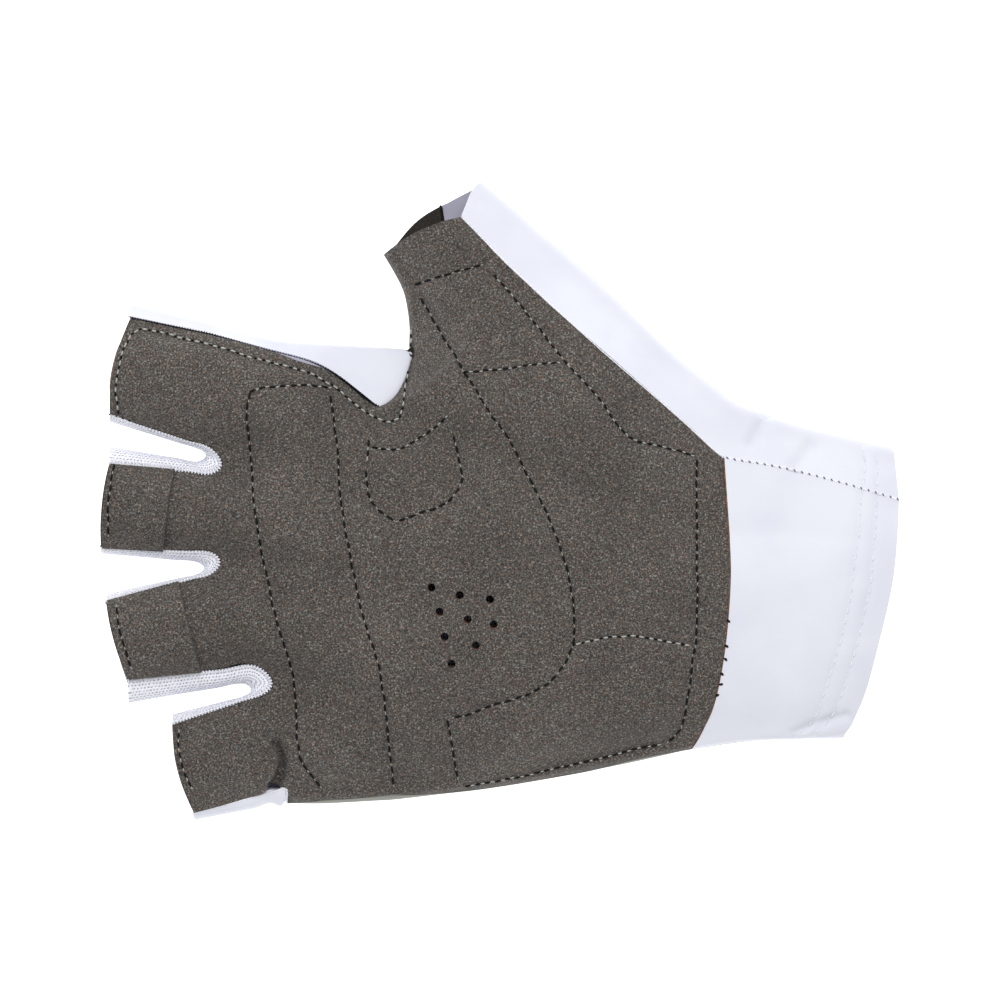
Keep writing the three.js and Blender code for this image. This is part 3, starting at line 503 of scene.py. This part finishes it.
# %% [markdown]
# ## Relief of the lycra
#
# The stretch cloth has no pads. It shows a raised hem, where the cloth is turned under and held by two
# rows of stitches, and a few soft folds where the cuff is drawn in at the wrist. Cloth that would reach
# below the surface is flattened on it.

# %% Press the cuff and the back
HEM_GROOVE_DEPTH = 0.3 * MM
HEM_GROOVE_WIDTH = 0.8 * MM
CUFF_FOLDS = [
    [(59.2, 19.8), (57.2, 16.0), (55.2, 12.6)],
    [(68.2, 12.0), (65.0, 7.6)],
    [(64.5, -51.2), (70.0, -49.0), (76.0, -47.4)],
]
FOLD_DEPTH = 0.95 * MM
FOLD_WIDTH = 1.3 * MM
for cloth in (cuff, back):
    ruffle(cloth, 0.3 * MM, 18 * MM, 7.7)
    press(cloth, CUFF_ROWS.values(), HEM_GROOVE_DEPTH, HEM_GROOVE_WIDTH)
    press(cloth, CUFF_FOLDS, FOLD_DEPTH, FOLD_WIDTH)
tuck(back, PLEAT_TUCKS)
for cloth in (palm, back):
    rest_on_floor(cloth)

# %% [markdown]
# ## Finishes
#
# Suede is a felt of very fine fibres: seen close it is a mottle of dark and light flecks about half a
# millimetre long, with a few warm ones. The lycra is a smooth, dense, slightly cool white knit. The
# strips between the fingers are a knit with rows of small holes, which follows each strip's own UV map.
# All patterns read Object coordinates in metres or that map, so that they stay put on the cloth. In a
# tight fold the suede is also darker, because hardly any light gets in there.

# %% Helpers for finishes
def srgb(red, green, blue):
    """Colour values as read from a picture, as the linear ones that a shader takes."""
    parts = [c / 255 for c in (red, green, blue)]
    return tuple(c / 12.92 if c < 0.04045 else ((c + 0.055) / 1.055) ** 2.4 for c in parts) + (1,)


class Finish:
    """A material with its shader, and short ways to add and join nodes."""

    def __init__(self, name):
        self.material = bpy.data.materials.new(name)
        self.material.use_nodes = True
        self.tree = self.material.node_tree
        self.shader = self.tree.nodes["Principled BSDF"]

    def node(self, kind, **values):
        made = self.tree.nodes.new("ShaderNode" + kind)
        for name, value in values.items():
            if name in made.inputs:
                made.inputs[name].default_value = value
            else:
                setattr(made, name, value)
        return made

    def join(self, start, end):
        self.tree.links.new(start, end)

    def grain(self, place, scale, detail=2.0, roughness=0.5, distortion=0.0):
        made = self.node("TexNoise")
        made.inputs["Scale"].default_value = scale
        made.inputs["Detail"].default_value = detail
        made.inputs["Roughness"].default_value = roughness
        made.inputs["Distortion"].default_value = distortion
        self.join(place, made.inputs["Vector"])
        return made.outputs["Fac"]

    def ramp(self, value, *stops):
        made = self.node("ValToRGB")
        colours = made.color_ramp.elements
        while len(colours) < len(stops):
            colours.new(0.5)
        for mark, (place, colour) in zip(colours, stops):
            mark.position = place
            mark.color = colour
        self.join(value, made.inputs["Fac"])
        return made.outputs["Color"]

    def mix(self, share, first, second, way="MIX"):
        made = self.node("Mix", data_type="RGBA", blend_type=way)
        for socket, value in (("Factor", share), ("A", first), ("B", second)):
            at = [i for i in made.inputs if i.name == socket and i.enabled][0]
            if isinstance(value, bpy.types.NodeSocket):
                self.join(value, at)
            else:
                at.default_value = value
        return [o for o in made.outputs if o.enabled][0]

    def relief(self, height, strength, distance):
        made = self.node("Bump")
        made.inputs["Strength"].default_value = strength
        made.inputs["Distance"].default_value = distance
        self.join(height, made.inputs["Height"])
        self.join(made.outputs["Normal"], self.shader.inputs["Normal"])


def grey(level):
    return (level, level, level, 1)


# %% Suede
def make_suede(name, stops):
    suede = Finish(name)
    place = suede.node("TexCoord").outputs["Object"]
    flecks = suede.grain(place, 2700, detail=2, roughness=0.6, distortion=0.4)
    colour = suede.ramp(flecks, *stops)
    warm = suede.grain(place, 2300, detail=1)
    tint = suede.ramp(warm, (0.34, (0.85, 1.0, 1.05, 1)), (0.5, grey(1)), (0.66, (1.20, 0.98, 0.87, 1)))
    colour = suede.mix(1.0, colour, tint, "MULTIPLY")
    cloud = suede.ramp(suede.grain(place, 55, detail=3), (0.35, grey(0.90)), (0.65, grey(1.08)))
    colour = suede.mix(1.0, colour, cloud, "MULTIPLY")
    fold = suede.node("Attribute", attribute_name=FOLD_SHADE).outputs["Fac"]
    shade = suede.ramp(fold, (0.05, grey(1)), (0.95, grey(0.25)))
    colour = suede.mix(1.0, colour, shade, "MULTIPLY")
    suede.join(colour, suede.shader.inputs["Base Color"])
    suede.shader.inputs["Roughness"].default_value = 0.95
    suede.shader.inputs["Specular IOR Level"].default_value = 0.15
    suede.shader.inputs["Sheen Weight"].default_value = 0.12
    suede.shader.inputs["Sheen Roughness"].default_value = 0.6
    suede.relief(flecks, 0.5, 0.0003)
    return suede.material


def make_cut_edge():
    edge = Finish("cut_suede_edge")
    place = edge.node("TexCoord").outputs["Object"]
    colour = edge.ramp(edge.grain(place, 900, detail=3), (0.35, srgb(74, 50, 38)), (0.65, srgb(128, 88, 62)))
    edge.join(colour, edge.shader.inputs["Base Color"])
    edge.shader.inputs["Roughness"].default_value = 0.9
    return edge.material


# %% Lycra and the smooth side strip
def make_knit(name, low, high, roughness, sheen):
    knit = Finish(name)
    place = knit.node("TexCoord").outputs["Object"]
    cloud = knit.grain(place, 45, detail=4)
    colour = knit.ramp(cloud, (0.38, low), (0.62, high))
    knit.join(colour, knit.shader.inputs["Base Color"])
    knit.shader.inputs["Roughness"].default_value = roughness
    knit.shader.inputs["Specular IOR Level"].default_value = 0.3
    knit.shader.inputs["Sheen Weight"].default_value = sheen
    across = knit.node("TexWave", wave_type="BANDS", bands_direction="Y")
    across.inputs["Scale"].default_value = 700
    across.inputs["Distortion"].default_value = 0.6
    knit.join(place, across.inputs["Vector"])
    knit.relief(across.outputs["Fac"], 0.06, 0.00008)
    return knit.material


# %% Knit with holes, for the strips between the fingers
def make_hole_knit():
    net = Finish("white_hole_knit")
    place = net.node("UVMap", uv_map="along_strip").outputs["UV"]
    holes = net.node("TexVoronoi", feature="F1")
    holes.inputs["Scale"].default_value = 1.0
    holes.inputs["Randomness"].default_value = 0.12
    net.join(place, holes.inputs["Vector"])
    # painted shade: the holes are not cut, and each is a grey dot standing for the shaded inside of the
    # glove seen through it
    shade = net.ramp(
        holes.outputs["Distance"],
        (0.13, srgb(132, 132, 146)),
        (0.23, srgb(212, 213, 224)),
        (0.32, srgb(240, 241, 248)),
    )
    net.join(shade, net.shader.inputs["Base Color"])
    net.shader.inputs["Roughness"].default_value = 0.8
    depth = net.ramp(holes.outputs["Distance"], (0.2, grey(0)), (0.42, grey(1)))
    net.relief(depth, 0.6, 0.0002)
    return net.material


# %% Thread
def make_thread(name, colour):
    thread = Finish(name)
    place = thread.node("TexCoord").outputs["Object"]
    ply = thread.grain(place, 4000, detail=1)
    shade = thread.ramp(ply, (0.35, tuple(c * 0.7 for c in colour[:3]) + (1,)), (0.6, colour))
    thread.join(shade, thread.shader.inputs["Base Color"])
    thread.shader.inputs["Roughness"].default_value = 0.7
    thread.shader.inputs["Specular IOR Level"].default_value = 0.2
    thread.relief(ply, 0.4, 0.0001)
    return thread.material


SUEDE = make_suede("grey_brown_suede", [
    (0.30, srgb(42, 39, 37)),
    (0.47, srgb(72, 67, 64)),
    (0.58, srgb(94, 89, 84)),
    (0.72, srgb(146, 144, 139)),
])
# partly the darker wrong side of the suede, partly painted shade: the inside of the glove is darkened in its
# colour as if little light reached it
SUEDE_WRONG_SIDE_AND_SHADE = make_suede("suede_wrong_side_and_painted_shade", [(0.35, srgb(34, 31, 28)), (0.65, srgb(54, 50, 46))])
CUT_EDGE = make_cut_edge()
# partly the wrong side of the knit, partly painted shade: the inside of the glove is a greyer, bluish white,
# as if less light reached it
LYCRA_WRONG_SIDE_AND_SHADE = make_knit("lycra_wrong_side_and_painted_shade", srgb(158, 158, 174), srgb(170, 170, 186), 0.8, 0.0)
LYCRA = make_knit("white_lycra", srgb(209, 211, 222), srgb(217, 219, 228), 0.62, 0.0)
STRIP = make_knit("grey_strip_cloth", srgb(112, 114, 106), srgb(126, 128, 119), 0.6, 0.05)
HOLE_KNIT = make_hole_knit()
DARK_THREAD = make_thread("dark_thread", srgb(9, 8, 8))
PALE_THREAD = make_thread("pale_thread", srgb(176, 176, 170))
GREY_THREAD = make_thread("grey_thread", srgb(112, 112, 128))
WHITE_THREAD = make_thread("white_thread", srgb(238, 239, 247))
print("finishes:", [m.name for m in bpy.data.materials if m.use_nodes])

# %% [markdown]
# ## Threads
#
# One short strand is modelled once: a ball of a few dozen faces, to be stretched into a stitch. Every
# stitch is a copy of it, laid on the suede by a ray from above and turned to follow its row.

# %% A strand, and how copies of it are laid
bpy.ops.object.select_all(action="DESELECT")
bpy.ops.mesh.primitive_uv_sphere_add(segments=6, ring_count=5, radius=0.5)
ball = bpy.context.object
bpy.ops.object.mode_set(mode="EDIT")
bpy.ops.mesh.select_all(action="SELECT")
bpy.ops.transform.rotate(value=math.pi / 2, orient_axis="Y", center_override=(0, 0, 0))
bpy.ops.object.mode_set(mode="OBJECT")
BALL_POINTS = arrays_of(ball)[0]
BALL_FACES = [tuple(p.vertices) for p in ball.data.polygons]
bpy.data.objects.remove(ball)


def lay_strands(name, strands, finish):
    """One piece of all strands, each given as (place, along, up, length, width)."""
    points = []
    faces = []
    for place, along, up, length, width in strands:
        along = np.array(along) / np.linalg.norm(along)
        across = np.cross(up, along)
        across = across / np.linalg.norm(across)
        up = np.cross(along, across)
        start = len(points) * len(BALL_POINTS)
        shaped = BALL_POINTS * np.array([length, width, width])
        points.append(shaped @ np.array([along, across, up]) + np.array(place))
        faces.extend(tuple(start + i for i in face) for face in BALL_FACES)
    mesh = bpy.data.meshes.new(name)
    mesh.from_pydata(np.vstack(points).tolist(), [], faces)
    mesh.materials.append(finish)
    piece = bpy.data.objects.new(name, mesh)
    bpy.context.scene.collection.objects.link(piece)
    only(piece)
    bpy.ops.object.shade_smooth()
    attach(piece, "root")


ABOVE = 60 * MM


def on_top(walls, x, y):
    """Place and normal of the topmost wall under a point of the flat glove."""
    best = None
    for wall in walls:
        place, normal, number, far = wall.ray_cast(Vector((x, y, ABOVE)), Vector((0, 0, -1)))
        if place is not None and (best is None or place.z > best[0].z):
            best = (place, normal)
    return best


# pitch, share of the dark strand, width of the dark strand and width of the pale one
STITCH_KINDS = {
    "dark": (2.3 * MM, 0.72, 0.54 * MM, 0.20 * MM),
    "mixed": (2.2 * MM, 0.62, 0.52 * MM, 0.32 * MM),
    "pale": (2.0 * MM, 0.42, 0.48 * MM, 0.46 * MM),
}
UNEVEN = 0.12 * MM
STRAND_RISE = 0.3
STRAND_OVERLAP = 1.02
SHARE_SPREAD = (0.88, 1.1)
chance = random.Random(5)


def stitches_along(points, kind, walls):
    pitch, dark_share, dark_width, pale_width = STITCH_KINDS[kind]
    marks = smooth_line(points, pitch / 2)
    dark = []
    pale = []
    for number in range(0, len(marks) - 2, 2):
        aside = np.array([chance.uniform(-UNEVEN, UNEVEN), chance.uniform(-UNEVEN, UNEVEN)])
        a, b = marks[number] + aside, marks[number + 2] + aside
        split = a + (b - a) * dark_share * chance.uniform(*SHARE_SPREAD)
        for start, end, width, group in (
            (a, split, dark_width, dark),
            (split, b, pale_width, pale),
        ):
            first = on_top(walls, *start)
            last = on_top(walls, *end)
            if first is None or last is None:
                continue
            along = last[0] - first[0]
            up = first[1] + last[1]
            middle = (first[0] + last[0]) / 2 + up.normalized() * width * STRAND_RISE
            group.append((middle, along, up, along.length * STRAND_OVERLAP, width))
    return dark, pale


# %% [markdown]
# ## Rows of stitches on the suede
#
# Every row is sewn with the same two strands in turn. They lie on whichever layer of suede is on top,
# so that a row runs on over the second layers at the fingertips.

# %% Sew the palm
suede_walls = [tree_of(palm)] + [tree_of(tab) for tab in tabs]
dark_strands = []
pale_strands = []
for kind, points in STITCH_ROWS.values():
    dark, pale = stitches_along(points, kind, suede_walls)
    dark_strands += dark
    pale_strands += pale
lay_strands("palm_stitches_dark", dark_strands, DARK_THREAD)
lay_strands("palm_stitches_pale", pale_strands, PALE_THREAD)
print("palm stitches:", len(dark_strands), len(pale_strands))

# %% [markdown]
# ## Overlocked seams between the fingers
#
# The mesh strips are joined to the suede by an overlock seam: a thread wraps round the edge in close
# loops, which read as small white ribs across it, with a dark stitch between them now and then. Where
# the strip faces the little finger's side the ribs stand up as a rope.

# %% Overlock the strips
RIB_PITCH = 0.72 * MM
RIB_WIDTH = 0.52 * MM
RIB_RISE = 0.12 * MM
RIB_REACH = 0.28
ROPE_LENGTH = 1.7 * MM
SCALLOP_LENGTH = 1.0 * MM
ROPE_FACING = 0.2
KNOT_ASIDE = 0.25 * MM
KNOT_LENGTH = 0.5 * MM
KNOT_WIDTH = 0.34 * MM


def evenly(run, pitch):
    """Places along a seam run, each with its direction and normal."""
    places = np.array([tuple(p) for p, n in run])
    normals = np.array([tuple(n) for p, n in run])
    along = np.concatenate([[0], np.cumsum(np.linalg.norm(np.diff(places, axis=0), axis=1))])
    marks = np.arange(pitch / 2, along[-1], pitch)
    found = []
    for mark in marks:
        spot = np.array([np.interp(mark, along, places[:, k]) for k in range(3)])
        ahead = np.array([np.interp(mark + pitch / 2, along, places[:, k]) for k in range(3)])
        behind = np.array([np.interp(mark - pitch / 2, along, places[:, k]) for k in range(3)])
        normal = np.array([np.interp(mark, along, normals[:, k]) for k in range(3)])
        found.append((spot, ahead - behind, normal / np.linalg.norm(normal)))
    return found


ribs = []
knots = []
for runs in gusset_seams:
    for run in runs:
        for number, (spot, ahead, normal) in enumerate(evenly(run, RIB_PITCH)):
            across = np.cross(ahead, normal)
            across = across / np.linalg.norm(across)
            if across[2] > 0:
                across = -across
            length = ROPE_LENGTH if normal[1] > ROPE_FACING else SCALLOP_LENGTH
            middle = spot + across * length * RIB_REACH + normal * RIB_RISE
            ribs.append((middle, across, normal, length, RIB_WIDTH))
            if number % 2 == 0:
                knots.append((spot - across * KNOT_ASIDE, ahead, normal, KNOT_LENGTH, KNOT_WIDTH))
lay_strands("overlock_ribs", ribs, WHITE_THREAD)
lay_strands("overlock_knots", knots, DARK_THREAD)
print("ribs:", len(ribs), "knots:", len(knots))

# %% [markdown]
# ## Seams of the suede on the lycra
#
# Along the web and the thumb a dark thread closes the seam, and the tips of its stitches stand out past
# the suede. At the wrist only the brown fibres of the cut edge show, and the seams along the cuff and
# the little finger are closed with white thread. Low down, where the camera looks in at a seam from the
# inside, a thicker dark thread fills it.

# %% Seam threads at the suede's edge
THREAD_PITCH = 1.2 * MM
THREAD_OVERLAP = 1.7
# width of the thread and how far it lies below the cloth's face
SEAM_THREADS = {
    "web": (0.28 * MM, 0.2 * MM),
    "radial": (0.45 * MM, 0.15 * MM),
    "inner": (0.9 * MM, 1.2 * MM),
    "wrist": (0.5 * MM, 0.15 * MM),
    "cuff": (0.62 * MM, 0.16 * MM),
    "little": (0.5 * MM, 0.15 * MM),
}
# pitch, length and width of the tips that stand out past the suede
SEAM_TIPS = {
    "web": (0.62 * MM, 0.7 * MM, 0.27 * MM),
    "radial": (2.1 * MM, 0.9 * MM, 0.24 * MM),
}


def thread_along(run, kind):
    """Strands end to end along a seam, a little below the cloth's face."""
    width, sink = SEAM_THREADS[kind]
    return [
        (spot - normal * sink, ahead, normal, THREAD_PITCH * THREAD_OVERLAP, width)
        for spot, ahead, normal in evenly(run, THREAD_PITCH)
    ]


def tips_along(run, kind):
    """Short strands across a seam, each with its own slant and length."""
    pitch, length, width = SEAM_TIPS[kind]
    strands = []
    for spot, ahead, normal in evenly(run, pitch):
        slant = np.cross(ahead, normal) + ahead * chance.uniform(-0.5, 0.5)
        strands.append((spot, slant, normal, length * chance.uniform(0.7, 1.2), width))
    return strands


radial_seam = max(back_seams, key=lambda run: max(p.y for p, n in run))
web_seam = max((run for run in back_seams if run is not radial_seam), key=len)
little_seams = [run for run in back_seams if run is not radial_seam and run is not web_seam]
print("seams at the little finger:", len(little_seams))

# %% Dark thread at the web and the thumb
INNER_SEAM_TOP = 2 * MM
THUMB_INNER_SEAM = [(-13.0, 64.1), (-12.8, 62.6), (-12.5, 60.6)]
THUMB_INNER_HEIGHT = 1.1 * MM
THUMB_INNER_STEP = 1.0 * MM
THUMB_INNER_LENGTH = 2.2 * MM
THUMB_INNER_WIDTH = 0.9 * MM

dark_seam = thread_along(web_seam, "web") + thread_along(radial_seam, "radial")
for run in back_seams:
    dark_seam += [strand for strand in thread_along(run, "inner") if strand[0][2] < INNER_SEAM_TOP]
thumb_line = smooth_line(THUMB_INNER_SEAM, THUMB_INNER_STEP)
for start, end in zip(thumb_line, thumb_line[1:]):
    place = (*start, THUMB_INNER_HEIGHT)
    along = (*(end - start), 0)
    dark_seam.append((place, along, (0, 0, 1), THUMB_INNER_LENGTH, THUMB_INNER_WIDTH))
dark_tips = tips_along(web_seam, "web") + tips_along(radial_seam, "radial")
lay_strands("web_seam_thread", dark_seam, DARK_THREAD)
lay_strands("web_seam_tips", dark_tips, DARK_THREAD)
print("strands at the web and the thumb:", len(dark_seam), "tips:", len(dark_tips))

# %% Fibres at the wrist, white thread at the cuff and the little finger
wrist_edge = [strand for run in wrist_seams for strand in thread_along(run, "wrist")]
cuff_cord = [strand for run in cuff_seams for strand in thread_along(run, "cuff")]
little_cord = [strand for run in little_seams for strand in thread_along(run, "little")]
lay_strands("wrist_edge_fibres", wrist_edge, CUT_EDGE)
lay_strands("cuff_seam_cord", cuff_cord, WHITE_THREAD)
lay_strands("little_seam_cord", little_cord, WHITE_THREAD)
print("strands at the wrist, cuff and little finger:", len(wrist_edge), len(cuff_cord), len(little_cord))

# %% [markdown]
# ## Stitches on the cuff
#
# The seam along the cuff shows as a row of small grey dots, and the hem as two rows of short white
# stitches sunk in the cloth. At the wrist a few dark knots stand on the suede's edge.

# %% Sew the cuff
HEM_PITCH = 2.4 * MM
HEM_SHARE = 0.62
HEM_RISE = 0.05 * MM
HEM_WIDTH = 0.4 * MM
DOT_PITCH = 1.68 * MM
DOT_SLANT = 0.8
DOT_RISE = 0.12 * MM
DOT_LENGTH = 0.7 * MM
DOT_WIDTH = 0.36 * MM
WRIST_KNOTS = [(49.7, -26.4), (49.3, -31.9), (49.1, -34.8), (48.3, -38.0), (47.7, -40.3), (47.3, -42.7)]
WRIST_KNOT_ASIDE = (0.3, 0.7, 1.1)
WRIST_KNOT_LENGTH = 1.0 * MM
WRIST_KNOT_WIDTH = 0.6 * MM

cuff_walls = [tree_of(cuff), tree_of(back)]
dots = []
whites = []
for points in CUFF_ROWS.values():
    marks = smooth_line(points, HEM_PITCH)
    for a, b in zip(marks, marks[1:]):
        first = on_top(cuff_walls, *a)
        last = on_top(cuff_walls, *(a + (b - a) * HEM_SHARE))
        if first is None or last is None:
            continue
        along = last[0] - first[0]
        up = first[1] + last[1]
        middle = (first[0] + last[0]) / 2 + up.normalized() * HEM_RISE
        whites.append((middle, along, up, along.length, HEM_WIDTH))
palm_side_seam = max(cuff_seams, key=lambda run: run[0][0].y)
for spot, ahead, normal in evenly(palm_side_seam, DOT_PITCH):
    slant = ahead + np.cross(ahead, normal) * DOT_SLANT
    dots.append((spot + normal * DOT_RISE, slant, normal, DOT_LENGTH, DOT_WIDTH))
tied = []
for x, y in WRIST_KNOTS:
    nearby = [on_top(cuff_walls + suede_walls, (x + aside) * MM, y * MM) for aside in WRIST_KNOT_ASIDE]
    place, normal = max(nearby, key=lambda hit: hit[0].z)
    tied.append((place, (1, chance.uniform(-1, 1), 0), normal, WRIST_KNOT_LENGTH, WRIST_KNOT_WIDTH))
lay_strands("cuff_seam_dots", dots, GREY_THREAD)
lay_strands("wrist_knots", tied, DARK_THREAD)
lay_strands("cuff_hem_stitches", whites, WHITE_THREAD)
print("cuff stitches:", len(dots), len(whites), "knots:", len(tied))

# %% [markdown]
# ## Vent holes
#
# Nine round holes are punched through the suede in the middle of the palm. They are made in the outer
# wall, so that the thickness then gives each of them its own wall: the faces round a hole are made fine,
# those inside it are taken out, and the rim is drawn to a true circle.

# %% Punch the vents
FINE_CUTS = 5
FINE_REACH = 2.3
RIM_REACH = 1.5
FACING_UP = 0.5


def pierce(piece, x, y, radius):
    """Make a round hole through the side that faces up, and count the points on its rim."""
    only(piece)
    bpy.ops.object.mode_set(mode="EDIT")
    mesh = bmesh.from_edit_mesh(piece.data)

    def away(place):
        return math.hypot(place.x - x, place.y - y)

    def faces_within(reach):
        upper = [f for f in mesh.faces if f.normal.z > FACING_UP]
        return [f for f in upper if away(f.calc_center_median()) < reach]

    edges = list({edge for face in faces_within(radius * FINE_REACH) for edge in face.edges})
    bmesh.ops.subdivide_edges(mesh, edges=edges, cuts=FINE_CUTS, use_grid_fill=True)
    bmesh.ops.delete(mesh, geom=faces_within(radius), context="FACES")
    rim = [v for v in mesh.verts if v.is_boundary and away(v.co) < radius * RIM_REACH]
    for point in rim:
        grown = radius / away(point.co)
        point.co.x = x + (point.co.x - x) * grown
        point.co.y = y + (point.co.y - y) * grown
    bmesh.update_edit_mesh(piece.data)
    bpy.ops.object.mode_set(mode="OBJECT")
    return len(rim)


print("points on each rim:", [pierce(palm, x * MM, y * MM, VENT_RADIUS) for x, y in VENTS])

# %% [markdown]
# ## Thickness and finish
#
# With every dent in place, each outer wall gets its thickness inwards. The new rim is the cut edge, and
# on the suede it has its own warm brown finish. The inner walls take a darker finish, partly the wrong
# side of the cloth and partly painted shade inside the glove; the open edges of the tabs and the rim of
# the back against the suede take it as well, as painted shadow lines.

# %% Thicken and dress the pieces
THICKNESS = {"suede": 1.4 * MM, "lycra": 1.0 * MM, "mesh": 1.0 * MM, "tab": 1.1 * MM}
SHARP_EDGE = math.radians(40)
MAP_STEP = 0.4 * MM
HOLE_PITCH = 0.78 * MM
HOLE_SLANT = 0.5
RIM_SHADE_REACH = 1.5 * MM
INSIDE, RIM = 1, 2


def thicken(piece, thickness, finishes):
    for finish in finishes:
        piece.data.materials.append(finish)
    only(piece)
    wall = piece.modifiers.new("thickness", "SOLIDIFY")
    wall.thickness = thickness
    wall.offset = -1
    wall.use_even_offset = False
    wall.material_offset = INSIDE
    wall.material_offset_rim = RIM
    bpy.ops.object.modifier_apply(modifier="thickness")
    bpy.ops.object.shade_smooth_by_angle(angle=SHARP_EDGE)


def map_along_strip(piece, runs):
    """UV in hole pitches: along the strip's seam, and down from it."""
    seam = [evenly(run, MAP_STEP) for run in runs]
    spots = [spot for run in seam for spot, ahead, normal in run]
    tree = KDTree(len(spots))
    for number, spot in enumerate(spots):
        tree.insert(spot, number)
    tree.balance()
    layer = piece.data.uv_layers.new(name="along_strip")
    for loop in piece.data.loops:
        place = piece.data.vertices[loop.vertex_index].co
        spot, number, far = tree.find(place)
        layer.data[loop.index].uv = ((number * MAP_STEP + far * HOLE_SLANT) / HOLE_PITCH, far / HOLE_PITCH)


for gusset, runs in zip(gussets, gusset_seams):
    map_along_strip(gusset, runs)
thicken(palm, THICKNESS["suede"], [SUEDE, SUEDE_WRONG_SIDE_AND_SHADE, CUT_EDGE])
thicken(back, THICKNESS["lycra"], [LYCRA, LYCRA_WRONG_SIDE_AND_SHADE, LYCRA])
thicken(cuff, THICKNESS["lycra"], [LYCRA, LYCRA_WRONG_SIDE_AND_SHADE, LYCRA])
thicken(strip, THICKNESS["lycra"], [STRIP, STRIP, STRIP])
# painted shadow: the open inner edge of each tab takes the dark inside finish, standing for the shadow line
# under the flap
for tab in tabs:
    thicken(tab, THICKNESS["tab"], [SUEDE, SUEDE_WRONG_SIDE_AND_SHADE, SUEDE_WRONG_SIDE_AND_SHADE])
for gusset in gussets:
    thicken(gusset, THICKNESS["mesh"], [HOLE_KNIT, HOLE_KNIT, HOLE_KNIT])

# painted shade: where the rim of the back lies against the suede, it takes the darkened inside finish, for
# the dark shade in that seam
thick_suede = tree_of(palm)
for face in back.data.polygons:
    if face.material_index == RIM and thick_suede.find_nearest(face.center, RIM_SHADE_REACH)[0] is not None:
        face.material_index = INSIDE
for piece in (palm, back, cuff, strip, *tabs, *gussets):
    print(piece.name, len(piece.data.polygons), "faces")

# %% [markdown]
# ## Each piece in the frame
#
# Every cloth piece stands for one solid, which it hides, and rides on the one body. The table also
# gives each piece's finish slot and the size and area of the flat cut it was made from.

CUTS = {
    palm: ("palm_suede", "suede", (0.150, 0.145), 0.0138),
    back: ("back_lycra", "lycra", (0.185, 0.150), 0.0191),
    cuff: ("cuff_palm_panel", "lycra", (0.062, 0.052), 0.0022),
    strip: ("side_strip", "side_trim", (0.090, 0.010), 0.00036),
    tabs[0]: ("pull_tab_middle", "suede", (0.021, 0.018), 0.00029),
    tabs[1]: ("pull_tab_ring", "suede", (0.022, 0.020), 0.00033),
    gussets[0]: ("fourchette_index_middle", "mesh", (0.055, 0.010), 0.00050),
    gussets[1]: ("fourchette_middle_ring", "mesh", (0.055, 0.010), 0.00049),
    gussets[2]: ("fourchette_ring_little", "mesh", (0.060, 0.010), 0.00058),
}
for piece, (node, slot, flat, area) in CUTS.items():
    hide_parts(node)
    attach(piece, "root")

# %% [markdown]
# ## Floor and light
#
# The glove lies on a plain white table under a large soft light from above, a little towards the thumb,
# with an even white surround. That leaves only faint shade in the grooves and no hard shadow beside it.

# %% Floor and light
FLOOR_SIZE = 6
FLOOR_LEVEL = -0.02 * MM
KEY_PLACE = (-0.05, 0.45, 1.0)
KEY_SIZE = 0.7
KEY_WATTS = 7
SURROUND = 0.7

bpy.ops.object.select_all(action="DESELECT")
bpy.ops.mesh.primitive_plane_add(size=FLOOR_SIZE, location=(0, 0, FLOOR_LEVEL))
floor = bpy.context.object
floor.name = "floor"
table = Finish("white_table")
table.shader.inputs["Base Color"].default_value = grey(0.95)
table.shader.inputs["Emission Color"].default_value = grey(1)
table.shader.inputs["Emission Strength"].default_value = 0.8
table.shader.inputs["Roughness"].default_value = 0.9
floor.data.materials.append(table.material)

world = bpy.data.worlds.new("surround")
world.use_nodes = True
background = world.node_tree.nodes["Background"]
background.inputs["Color"].default_value = grey(1)
background.inputs["Strength"].default_value = SURROUND
bpy.context.scene.world = world

bpy.ops.object.light_add(type="AREA", location=KEY_PLACE)
key = bpy.context.object
key.data.size = KEY_SIZE
key.data.energy = KEY_WATTS
key.rotation_euler = (Vector((0, 0, 0)) - key.location).to_track_quat("-Z", "Y").to_euler()

bpy.context.scene.view_settings.view_transform = "Standard"
